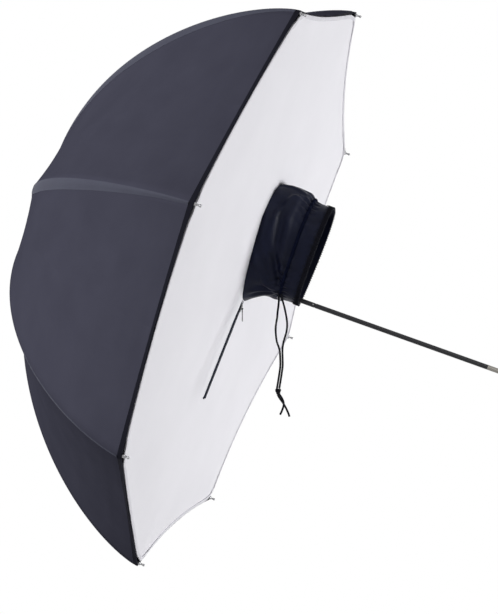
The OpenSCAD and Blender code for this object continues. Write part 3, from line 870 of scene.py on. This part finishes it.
def image_place(point):
    """Where a point of the row's frame shows in the photograph's frame."""
    camera = bpy.context.scene.camera
    local = camera.matrix_world.inverted() @ Vector(point)
    long_side = max(IMAGE_W, IMAGE_H)
    focal = long_side * camera.data.lens / camera.data.sensor_width
    return (
        IMAGE_W / 2 - camera.data.shift_x * long_side - focal * local.x / local.z,
        IMAGE_H / 2 + camera.data.shift_y * long_side + focal * local.y / local.z,
    )


def placed_on(name, carriers):
    """The place and outward side where an image point's ray meets the finished carriers, or
    comes nearest."""
    camera = bpy.context.scene.camera
    x, y = POINTS[name]
    long_side = max(IMAGE_W, IMAGE_H)
    ray = camera.matrix_world.to_3x3() @ Vector(
        (
            x - IMAGE_W / 2 + camera.data.shift_x * long_side,
            IMAGE_H / 2 - y + camera.data.shift_y * long_side,
            -long_side * camera.data.lens / camera.data.sensor_width,
        )
    )
    ray.normalize()
    origin = camera.matrix_world.translation
    depsgraph = bpy.context.evaluated_depsgraph_get()
    trees = [BVHTree.FromObject(piece, depsgraph) for piece in carriers]
    hits = [h for h in (tree.ray_cast(origin, ray) for tree in trees) if h[0] is not None]
    if hits:
        place, normal = min(hits, key=lambda h: h[3])[:2]
    else:
        # Between 1.8 and 3.4 m from the camera, every 4 mm
        near = []
        for i in range(400):
            probe = origin + ray * (1.8 + i * 0.004)
            for tree in trees:
                found = tree.find_nearest(probe)
                near.append(((found[0] - probe).length, i, found[0], found[1]))
        _, _, place, normal = min(near, key=lambda n: n[:2])
    if normal.dot(ray) > 0:
        normal = -normal
    return place, normal


def shown_corners(piece):
    """A finished piece's vertices in the row's frame."""
    depsgraph = bpy.context.evaluated_depsgraph_get()
    finished = piece.evaluated_get(depsgraph)
    mesh = finished.to_mesh()
    corners = [finished.matrix_world @ v.co for v in mesh.vertices]
    finished.to_mesh_clear()
    return corners


def middle(corners):
    return sum(corners, Vector()) / len(corners)


# ---- operators
class UMBRELLA_OT_camera(bpy.types.Operator):
    """Sets the camera where the photograph was taken from"""

    bl_idname = "umbrella.camera"
    bl_label = "Camera"

    def execute(self, context):
        right, up, ahead = camera_axes()
        data = bpy.data.cameras.new("camera")
        camera = linked("camera", data)
        data.sensor_fit = "AUTO"
        data.lens = CAMERA_LENS
        place = held(0, 0, 0) - CAMERA_ASIDE * right - CAMERA_RISE * up - CAMERA_DISTANCE * ahead
        camera.matrix_world = Matrix(
            (
                (right.x, up.x, -ahead.x, place.x),
                (right.y, up.y, -ahead.y, place.y),
                (right.z, up.z, -ahead.z, place.z),
                (0, 0, 0, 1),
            )
        )
        context.scene.camera = camera
        context.view_layer.update()
        return {"FINISHED"}


def smooth_route(points, count):
    """A route of this many points along a smooth curve through the given ones, and its length."""
    pts = [Vector(p) / 1000 for p in points]
    fine = []
    for i in range(len(pts) - 1):
        a, b = pts[max(0, i - 1)], pts[i]
        c, d = pts[i + 1], pts[min(len(pts) - 1, i + 2)]
        for j in range(12):
            f = j / 12
            bend = (2 * a - 5 * b + 4 * c - d) * f**2 + (3 * b - a - 3 * c + d) * f**3
            fine.append(0.5 * (2 * b + (c - a) * f + bend))
    fine.append(pts[-1])
    runs = [0.0]
    for p, q in zip(fine, fine[1:]):
        runs.append(runs[-1] + (q - p).length)
    out = []
    for i in range(count):
        want = runs[-1] * i / (count - 1)
        j = max(k for k in range(len(runs) - 1) if runs[k] <= want + 1e-12)
        out.append(fine[j].lerp(fine[j + 1], (want - runs[j]) / (runs[j + 1] - runs[j])))
    return out, runs[-1]


def round_curve(name, route, diameter):
    """A round cord along a route: its object and its spline."""
    curve = bpy.data.curves.new(name, "CURVE")
    curve.dimensions = "3D"
    curve.bevel_depth = diameter / 2
    curve.bevel_resolution = 3
    spline = curve.splines.new("POLY")
    spline.points.add(len(route) - 1)
    for target, p in zip(spline.points, route):
        target.co = (*p, 1.0)
    return linked(name, curve), spline


def cord_curve(name, points, count, diameter):
    route, length = smooth_route(points, count)
    piece, _ = round_curve(name, route, diameter)
    piece.data.use_fill_caps = True
    piece.data.materials.append(finish("braided_cord"))
    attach(piece, "sleeve")
    return piece, tuple(route[0]), round(length, 4)


class UMBRELLA_OT_drawcord(bpy.types.Operator):
    """Makes the drawcord's two ends, the knot that joins them and its tails"""

    bl_idname = "umbrella.drawcord"
    bl_label = "Drawcord"

    def execute(self, context):
        diameter = context.scene.umbrella_sleeve.cord_diameter
        strands = [
            cord_curve("cord_left", CORD_LEFT, 36, diameter),
            cord_curve("cord_right", CORD_RIGHT, 36, diameter),
        ]
        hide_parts("drawcord_left")
        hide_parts("drawcord_right")
        knot = self.knot(diameter)
        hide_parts("cord_knot")
        tails = [
            cord_curve("cord_tail_left", TAIL_LEFT, 16, diameter),
            cord_curve("cord_tail_right", TAIL_RIGHT, 16, diameter),
        ]
        for strand, start, length in strands:
            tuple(start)
        for tail, start, length in tails:
            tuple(start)
        return {"FINISHED"}

    def knot(self, diameter):
        """An overhand knot: the cord's own thickness run round a trefoil, pulled tight."""
        centre, wide, deep, steps = Vector(KNOT_AT) / 1000, 0.00125, 0.0021, 72
        route = []
        for i in range(steps):
            f = 2 * math.pi * i / steps
            x = wide * (math.sin(f) + 2 * math.sin(2 * f))
            z = wide * (math.cos(f) - 2 * math.cos(2 * f)) * 1.25
            route.append(centre + Vector((x, -deep * math.sin(3 * f), z)))
        source, spline = round_curve("knot_source", route, diameter)
        spline.use_cyclic_u = True
        bpy.context.view_layer.update()
        depsgraph = bpy.context.evaluated_depsgraph_get()
        mesh = bpy.data.meshes.new_from_object(source.evaluated_get(depsgraph))
        bpy.data.objects.remove(source)
        bm = bmesh.new()
        bm.from_mesh(mesh)
        bmesh.ops.remove_doubles(bm, verts=bm.verts, dist=1e-6)
        bmesh.ops.recalc_face_normals(bm, faces=bm.faces)
        bpy.data.meshes.remove(mesh)
        return made("knot", bm, "braided_cord", "sleeve", in_umbrella=False)


class UMBRELLA_OT_canopy(bpy.types.Operator):
    """Makes the canopy's eight gores of coated nylon, silver inside"""

    bl_idname = "umbrella.canopy"
    bl_label = "Canopy"

    def execute(self, context):
        wall = 1000 * context.scene.umbrella_cloth.cloth_thickness
        start = math.degrees(math.asin(CROWN_R / RIM_R)) / 90
        for k in range(1, RIBS + 1):

            def place(s, t, k=k):
                return canopy_point(start + (1 - start) * s, GORE * (t - 0.5), -0.4, k)

            def chart(s, t):
                r = canopy_radius(start + (1 - start) * s)
                return (s * MERIDIAN_LEN, r * math.radians(GORE) * (t - 0.5))

            bm = cloth_grid((72, 32), place, chart, outward=away)
            area = area_of(bm)
            skins = "canopy_nylon silver_lining"
            piece = made(f"canopy_gore_{k}", bm, skins, f"rib_{k}", wall=wall, inner_slot=1)
            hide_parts(f"canopy_{k}")
            folding(piece)
        return {"FINISHED"}


def seam_width_at(u, width):
    """The fold beside a rib: widest halfway out, narrow at the hem and at the crown."""
    widening = 0.25 + 0.75 * smoothstep(0.02, 0.35, u)
    return 1000 * width * widening * (1 - 0.72 * smoothstep(0.45, 0.97, u))


class UMBRELLA_OT_canopy_trim(bpy.types.Operator):
    """Makes the folded seam beside each rib, and the canopy's bound hem"""

    bl_idname = "umbrella.canopy_trim"
    bl_label = "Canopy trim"

    def execute(self, context):
        look = context.scene.umbrella_cloth
        hem_width = 1000 * look.hem_width
        rim = arc_share(hem_width)
        for k in range(1, RIBS + 1):

            def strip(s, t, k=k):
                u = SEAM_START + (rim - SEAM_START) * s
                across = -seam_width_at(u, look.seam_width) * t
                a = math.degrees(math.asin(max(-1.0, across / max(20.0, canopy_radius(u)))))
                swell = math.sin(math.pi * min(1.0, t * 1.15)) * smoothstep(0, 0.1, s)
                return canopy_point(u, a, -0.9 - 0.9 * swell, k)

            def hem(s, t, k=k):
                return canopy_point(rim + (1 - rim) * s, GORE * (t - 0.5), -0.75, k)

            def hem_chart(s, t):
                return (hem_width * s, GORE_CHART * t)

            bm = cloth_grid((72, 6), strip, lambda s, t: (s * MERIDIAN_LEN, 18 * t), outward=away)
            piece = made(f"canopy_seam_{k}", bm, "seam_nylon", f"rib_{k}", wall=0.9)
            folding(piece)
            bm = cloth_grid((4, 32), hem, hem_chart, outward=away)
            piece = made(f"canopy_hem_{k}", bm, "binding_polyester", f"rib_{k}", wall=1.5)
            folding(piece)
        return {"FINISHED"}


class UMBRELLA_OT_diffuser(bpy.types.Operator):
    """Makes the white front diffuser and its folded hem"""

    bl_idname = "umbrella.diffuser"
    bl_label = "Diffuser"

    def execute(self, context):
        across = 32
        holes = [hole_radius(GORE * i / across - GORE / 2) for i in range(RIBS * across + 1)]
        for k in range(1, RIBS + 1):

            def place(s, t, k=k):
                a = GORE * (t - 0.5)
                inner, outer = holes[(k - 1) * across + round(across * t)], diffuser_edge(a)
                r = inner + (outer - inner) * s
                pull = 0.8 * smoothstep(60, 0, r - inner)
                near_tip = smoothstep(90, 10, outer - r) * smoothstep(14, 2, abs(a))
                ends = smoothstep(0, 50, r - inner) * smoothstep(0, 60, outer - r)
                turn = math.radians(a + GORE * (k - 1))
                drape = 0.7 * ripple(turn * 7.0, r * 0.012, 1) * ends
                lift = DIFFUSER_LIFT - pull + 0.5 * near_tip + drape
                lift += diffuser_rise(a, outer - r)
                return at_rib(r, a, k, lift)

            def hem(s, t, k=k):
                a = GORE * (t - 0.5)
                inwards = DIFFUSER_HEM * (1 - s)
                proud = 0.9 + 0.5 * math.sin(math.pi * s)
                lift = DIFFUSER_LIFT - proud + diffuser_rise(a, inwards)
                return at_rib(diffuser_edge(a) - inwards, a, k, lift)

            def hem_chart(s, t):
                return (DIFFUSER_HEM * s, GORE_CHART * t)

            def chart(s, t, place=place):
                p = place(s, t)
                return (p.x + 600, p.y + 600)

            bm = cloth_grid((40, across), place, chart, outward=frontwards)
            area = area_of(bm)
            body = f"diffuser_{k}"
            piece = made(f"diffuser_panel_{k}", bm, "diffuser_nylon", body, wall=DIFFUSER_WALL)
            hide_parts(f"diffuser_{k}")
            folding(piece)
            bm = cloth_grid((4, across), hem, hem_chart, outward=frontwards)
            wall = 2 * DIFFUSER_WALL
            piece = made(f"diffuser_hem_{k}", bm, "diffuser_binding", body, wall=wall)
            folding(piece)
        return {"FINISHED"}


class UMBRELLA_OT_sleeve(bpy.types.Operator):
    """Makes the flash sleeve: gathered cloth, drawcord casing, mouth hem and overlock stitches"""

    bl_idname = "umbrella.sleeve"
    bl_label = "Flash sleeve"

    def execute(self, context):
        look = context.scene.umbrella_sleeve

        def sheet(cells, place, chart):
            return cloth_grid(
                cells, place, chart, outward=lambda c: (c.x - SLEEVE_MID, c.y, 0), welded=True
            )

        def band(s, t):
            a = 90 + 360 * t
            swell = math.sin(math.pi * min(1.0, max(0.0, s)))
            pucker = 0.5 * (1 + math.sin(math.radians(a) * 62 + ripple(a * 0.11, 0, 5)))
            off = sleeve_folds(CASING[1], a) * 0.8 + 0.6 + (1.6 + 0.9 * pucker) * swell
            return sleeve_point(CASING[0] + (CASING[1] - CASING[0]) * s, a, off)

        def hem(s, t):
            place, a = MOUTH_HEM + (1 - MOUTH_HEM) * s, 90 + 360 * t
            off = sleeve_folds(place, a) + 0.5 + 0.5 * math.sin(math.pi * s)
            return sleeve_point(place, a, off)

        def chart(s, t):
            return (SLEEVE_LEN * s, 1000 * SLEEVE_ROUND * t)

        bm = sheet((60, 288), sleeve_cloth_point, chart)
        flat_len = round(area_of(bm) / SLEEVE_ROUND * 1.02, 3)
        wall = 1000 * look.cloth_thickness
        shell = made("sleeve_cloth", bm, "sleeve_polyester", "sleeve", wall=wall)
        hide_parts("sleeve")

        bm = sheet((8, 320), band, lambda s, t: (8 * s, 520 * t))
        tunnel = made("sleeve_casing", bm, "casing_polyester", "sleeve", wall=0.8)
        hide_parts("cord_casing")

        bm = sheet((5, 288), hem, lambda s, t: (9 * s, 500 * t))
        mouth = made("sleeve_mouth_hem", bm, "binding_polyester", "sleeve", wall=1.0)
        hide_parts("sleeve_hem")

        stitches = self.overlock(look.stitch_pitch)
        for piece in (shell, tunnel, mouth, stitches):
            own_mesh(piece)
        return {"FINISHED"}

    def overlock(self, pitch):
        """Slanting loops of thread over the raw edge of the mouth."""
        steps = 720
        ring = [sleeve_point(1.0, 360 * i / steps) for i in range(steps + 1)]
        around = sum((b - a).length for a, b in zip(ring, ring[1:]))
        count = int(around / (1000 * pitch))
        bm = bmesh.new()
        run, step, i = 0.0, around / count, 0
        for n in range(count):
            while run + (ring[i + 1] - ring[i]).length < n * step:
                run += (ring[i + 1] - ring[i]).length
                i += 1
            a = 360 * i / steps
            long = 10.0 + 2.6 * ripple(n * 1.7, 0.3, 4)
            low = sleeve_point(1.0 - long / SLEEVE_LEN, a + 0.6, 1.7)
            edge = sleeve_point(1.0 + 0.012, a, 1.4)
            axis = edge - low
            turn = axis.to_track_quat("Z", "Y").to_matrix().to_4x4()
            place = Matrix.Translation((low + edge) / 2) @ turn
            bmesh.ops.transform(bm, matrix=place, verts=rod(bm, THREAD_R, 0.7, axis.length))
        piece = made("sleeve_overlock", bm, "overlock_thread", "sleeve")
        return piece


class UMBRELLA_OT_zip(bpy.types.Operator):
    """Makes the zip's teeth and tape, the slider and its pull"""

    bl_idname = "umbrella.zip"
    bl_label = "Zip"

    def execute(self, context):
        bm = bmesh.new()
        pitch = 1000 * context.scene.umbrella_sleeve.tooth_pitch
        for i in range(int((ZIP_LEN + 4) / pitch)):
            side = 1 if i % 2 else -1
            at = (-ZIP_START + 4 - (i + 0.5) * pitch, side * 0.95, ZIP_Z)
            block(bm, (pitch * 0.82, 3.9, 1.7), at, bevel=0.4, segments=1)
        teeth = made("zip_teeth", bm, "nylon_coil", "zip_flap", smooth=False)
        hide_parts("zip_chain")

        def tape(s, t):
            y = TAPE_W * (t - 0.5)
            ridge = 0.35 * math.exp(-((abs(y) - TAPE_RIDGE) ** 2) / 0.5)
            return Vector((-ZIP_START + 5 - (ZIP_LEN + 5) * s, y, ZIP_Z - 0.05 - ridge))

        def chart(s, t):
            return (ZIP_LEN * s, TAPE_W * t)

        bm = cloth_grid((60, 32), tape, chart, outward=frontwards)
        strip = made("zip_tape_strip", bm, "zip_tape_weave", "zip_flap", wall=0.5)
        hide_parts("zip_tape")

        slider = self.slider()
        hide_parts("zip_slider")
        pull = self.pull()
        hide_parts("zip_pull")
        return {"FINISHED"}

    def slider(self):
        """Two shield-shaped plates round the teeth, their post, and the bridge for the pull."""
        bm = bmesh.new()
        for side in (-1, 1):
            at = (-SLIDER_AT, 0, ZIP_Z + side * PLATE_Z)
            block(bm, (12.0, 9.2, 0.95), at, bevel=0.42, narrow=(0, -1, 0.72))
        block(bm, (4.0, 2.2, 2.7), (-SLIDER_AT, 0, ZIP_Z + LUG_DROP - 0.1), bevel=0.6)
        block(bm, (3.4, 0.5, 4.0), (-SLIDER_AT + 3.8, 0, ZIP_Z))
        return made("zip_slider_body", bm, "painted_slider", "zip_slider", smooth=False)

    def pull(self):
        """A flat tab, forked over the slider's bridge on a pin and hanging plumb."""
        bm = bmesh.new()
        block(bm, (1.3, 5.0, 16.5), (0, 0, -13.4), bevel=0.55, narrow=(2, 1, 0.8))
        for side in (-1, 1):
            block(bm, (1.3, 0.8, 6.4), (0, side * 1.95, -2.6), bevel=0.3)
        quarter_turn(bm, "X", rod(bm, 0.7, 0.7, 4.6, segments=12))
        plumb = Matrix.Rotation(math.radians(90 - SHAFT_TILT), 4, "Y")
        hang = Matrix.Translation((-SLIDER_AT, 0, ZIP_Z + LUG_DROP)) @ plumb
        bmesh.ops.transform(bm, matrix=hang, verts=bm.verts)
        return made("zip_pull_tab", bm, "painted_slider", "zip_pull", smooth=False)


class UMBRELLA_OT_frame_finish(bpy.types.Operator):
    """Gives the shaft, crown, runner, ribs, stretchers, tips and wires their finishes"""

    bl_idname = "umbrella.frame_finish"
    bl_label = "Frame finishes"

    def execute(self, context):
        finishes = {
            "black_lacquer": finish("shaft_lacquer"),
            "bare_steel": finish("bare_steel"),
            "plated_steel": finish("plated_steel"),
            "black_plastic": finish("moulded_plastic"),
        }
        slots = {row["node"]: row["material_slot"] for row in frame["record"]["subparts"]}
        for name, node in frame["nodes"].items():
            if node.hide_render:
                continue
            for slot in node.material_slots:
                slot.material = finishes[slots[name]]
        return {"FINISHED"}


class UMBRELLA_OT_fittings(bpy.types.Operator):
    """Sets the cord's eyelet and the tacks at the sleeve's mouth and the zip's end"""

    bl_idname = "umbrella.fittings"
    bl_label = "Small fittings"

    def execute(self, context):
        cloth, casing = (bpy.data.objects[name] for name in ("sleeve_cloth", "sleeve_casing"))
        panel = bpy.data.objects["diffuser_panel_5"]
        self.ring("cord_eyelet", [casing, cloth], "sleeve")
        self.tack("mouth_tack", [cloth, casing], "bar_tack", "sleeve", (4.6, 2.2))
        self.tack("zip_end", [panel], "overlock_thread", "zip_flap", (3.0, 9.0))
        return {"FINISHED"}

    def settled(self, bm, name, carriers):
        place, normal = placed_on(name, carriers)
        turn = normal.to_track_quat("Z", "X").to_matrix().to_4x4()
        put_down = Matrix.Translation(place) @ turn @ Matrix.Scale(0.001, 4)
        bmesh.ops.transform(bm, matrix=put_down, verts=bm.verts)

    def ring(self, name, carriers, body):
        """A pressed eyelet: a small rolled ring."""
        bm = bmesh.new()
        bmesh.ops.create_circle(bm, segments=12, radius=0.8)
        quarter_turn(bm, "X", bm.verts)
        bmesh.ops.translate(bm, vec=(3.1, 0, 0.3), verts=bm.verts)
        bmesh.ops.spin(
            bm, geom=bm.verts[:] + bm.edges[:], cent=(0, 0, 0), axis=(0, 0, 1),
            angle=2 * math.pi, steps=28, use_merge=True,
        )
        bmesh.ops.remove_doubles(bm, verts=bm.verts, dist=0.001)
        bmesh.ops.recalc_face_normals(bm, faces=bm.faces)
        self.settled(bm, name, carriers)
        piece = made(name, bm, "plated_steel", body, in_umbrella=False)

    def tack(self, name, carriers, thread, body, size):
        """A bar tack: close stitches side by side."""
        bm = bmesh.new()
        count = max(5, int(size[1] / 0.8))
        for i in range(count):
            stitch = rod(bm, THREAD_R, THREAD_R, size[0])
            quarter_turn(bm, "Y", stitch)
            aside = (i - (count - 1) / 2) * size[1] / count
            bmesh.ops.translate(bm, vec=(0, aside, 0.4), verts=stitch)
        self.settled(bm, name, carriers)
        piece = made(name, bm, thread, body, in_umbrella=False)


class UMBRELLA_OT_stage(bpy.types.Operator):
    """Sets the floor, the white background and soft studio light"""

    bl_idname = "umbrella.stage"
    bl_label = "Stage"

    def execute(self, context):
        look = context.scene.umbrella_stage
        context.scene.view_settings.view_transform = "Standard"
        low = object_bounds()[0].z - look.floor_drop
        bm = bmesh.new()
        bmesh.ops.create_grid(bm, x_segments=8, y_segments=8, size=6.0)
        bmesh.ops.translate(bm, vec=(0, 0, low), verts=bm.verts)
        floor = meshed("floor", bm)
        floor.data.materials.append(self.floor_paint(look))
        floor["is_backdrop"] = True
        self.background(look)
        # Each lamp: place in metres, height on the shaft that it points at, size, share of power
        for name, place, aim, size, share in (
            ("key", (-2.4, -2.0, 0.7), 120, (1.6, 1.6), 0.46),
            ("front", (0.9, -2.9, 0.9), 0, (0.9, 0.9), 0.08),
            ("side", (3.0, 0.9, -0.8), 0, (1.8, 1.1), 0.64),
        ):
            self.lamp(name, place, held(0, 0, aim), size, look.key_power * share)
        return {"FINISHED"}

    def floor_paint(self, look):
        # Matt studio floor paint, rolled: a faint unevenness about 40 mm across
        material, tree, shader, coords = fresh("floor_paint")
        rolled = noise(tree, coords["Object"], 25.0, 3.0)
        pale = look.floor_colour
        colour = blended(tree, rolled, [c * 0.97 for c in pale], pale)
        tree.links.new(colour, shader.inputs["Base Color"])
        glow = maths(tree, "MULTIPLY", self.seen_directly(tree), look.floor_glow)
        tree.links.new(glow, shader.inputs["Emission Strength"])
        shader.inputs["Emission Color"].default_value = opaque(look.background)
        shader.inputs["Roughness"].default_value = 0.9
        shader.inputs["Specular IOR Level"].default_value = 0.1
        return material

    def seen_directly(self, tree):
        """1 where the camera, a reflection or a clear surface sees this, 0 where it only lights
        the object."""
        path = put(tree, "LightPath").outputs
        seen = maths(tree, "MAXIMUM", path["Is Camera Ray"], path["Is Glossy Ray"])
        return maths(tree, "MAXIMUM", seen, path["Is Transmission Ray"])

    def background(self, look):
        world = bpy.data.worlds.new("studio")
        bpy.context.scene.world = world
        world.use_nodes = True
        tree = world.node_tree
        tree.nodes.clear()
        seen = self.seen_directly(tree)
        around = put(tree, "TexCoord").outputs["Generated"]
        height = put(tree, "SeparateXYZ", {"Vector": around}, "Z")
        # The light that falls on the object: a little more from above than from below
        rise = {"From Min": -0.5, "From Max": 0.8, "To Min": 0.04, "To Max": 0.08}
        level = put(tree, "MapRange", {"Value": height, **rise}, "Result")
        light = put(tree, "Background", {"Color": (1, 1, 1, 1), "Strength": level}, 0)
        shown = {"Color": opaque(look.background), "Strength": 1.0}
        mixed = put(tree, "MixShader", {0: seen, 1: light, 2: put(tree, "Background", shown, 0)}, 0)
        put(tree, "OutputWorld", {"Surface": mixed})

    def lamp(self, name, place, target, size, power):
        data = bpy.data.lights.new(name, "AREA")
        data.shape = "RECTANGLE"
        data.size, data.size_y = size
        data.energy = power
        lamp = linked(name, data)
        lamp.location = place
        lamp.rotation_mode = "QUATERNION"
        lamp.rotation_quaternion = (Vector(target) - Vector(place)).to_track_quat("-Z", "Y")


class UMBRELLA_PT_make(bpy.types.Panel):
    """Makes the umbrella's parts, from its sizes and colours"""

    bl_label = "Umbrella"
    bl_idname = "UMBRELLA_PT_make"
    bl_space_type = "VIEW_3D"
    bl_region_type = "UI"
    bl_category = "Umbrella"

    def draw(self, context):
        for operator in OPERATORS:
            self.layout.operator(operator.bl_idname)
        for group in GROUPS:
            box = self.layout.box()
            settings = getattr(context.scene, group)
            for name in settings.__annotations__:
                box.prop(settings, name)


GROUPS = {
    "umbrella_cloth": UmbrellaCloth,
    "umbrella_sleeve": UmbrellaSleeve,
    "umbrella_metal": UmbrellaMetal,
    "umbrella_stage": UmbrellaStage,
}
OPERATORS = (
    UMBRELLA_OT_camera,
    UMBRELLA_OT_drawcord,
    UMBRELLA_OT_canopy,
    UMBRELLA_OT_canopy_trim,
    UMBRELLA_OT_diffuser,
    UMBRELLA_OT_sleeve,
    UMBRELLA_OT_zip,
    UMBRELLA_OT_frame_finish,
    UMBRELLA_OT_fittings,
    UMBRELLA_OT_stage,
)


def register():
    for cls in (*GROUPS.values(), *OPERATORS, UMBRELLA_PT_make):
        bpy.utils.register_class(cls)
    for name, group in GROUPS.items():
        setattr(bpy.types.Scene, name, bpy.props.PointerProperty(type=group))


def unregister():
    for name in GROUPS:
        delattr(bpy.types.Scene, name)
    for cls in reversed((*GROUPS.values(), *OPERATORS, UMBRELLA_PT_make)):
        bpy.utils.unregister_class(cls)


def write_points():
    """Works out where each named thing shows in the photograph's frame."""
    objects = bpy.data.objects
    nodes = frame["nodes"]
    cords = {"cord_left", "cord_right", "cord_tail_left", "cord_tail_right", "knot"}
    shown = [image_place(c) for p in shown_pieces() if p.name not in cords for c in shown_corners(p)]

    corners = (
        "corner_top_far", "corner_high_far", "corner_far", "corner_low_far",
        "corner_bottom", "corner_low_near", "corner_near", "corner_top_near",
    )
    for k, name in enumerate(corners, 1):
        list(image_place(held(*canopy_point(1.0, 0.0, 0.0, k))))
    top = max(shown_corners(nodes["apex_cap"]), key=lambda c: c.dot(turned((0, 0, 1))))
    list(image_place(top))
    seam = max(shown_corners(nodes["shaft"]), key=lambda c: c.dot(turned((0, 0, -1))))
    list(image_place(seam))
    for name, piece in (
        ("cord_eyelet", "cord_eyelet"), ("knot", "knot"), ("zip_slider", "zip_slider_body"),
        ("zip_end", "zip_end"), ("mouth_tack", "mouth_tack"),
    ):
        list(image_place(middle(shown_corners(objects[piece]))))
    sleeve = [
        image_place(c)
        for name in ("sleeve_cloth", "sleeve_mouth_hem")
        for c in shown_corners(objects[name])
    ]


def main():
    register()
    for operator in OPERATORS:
        group, name = operator.bl_idname.split(".")
        getattr(getattr(bpy.ops, group), name)()
    write_points()


if __name__ == "__main__":
    main()
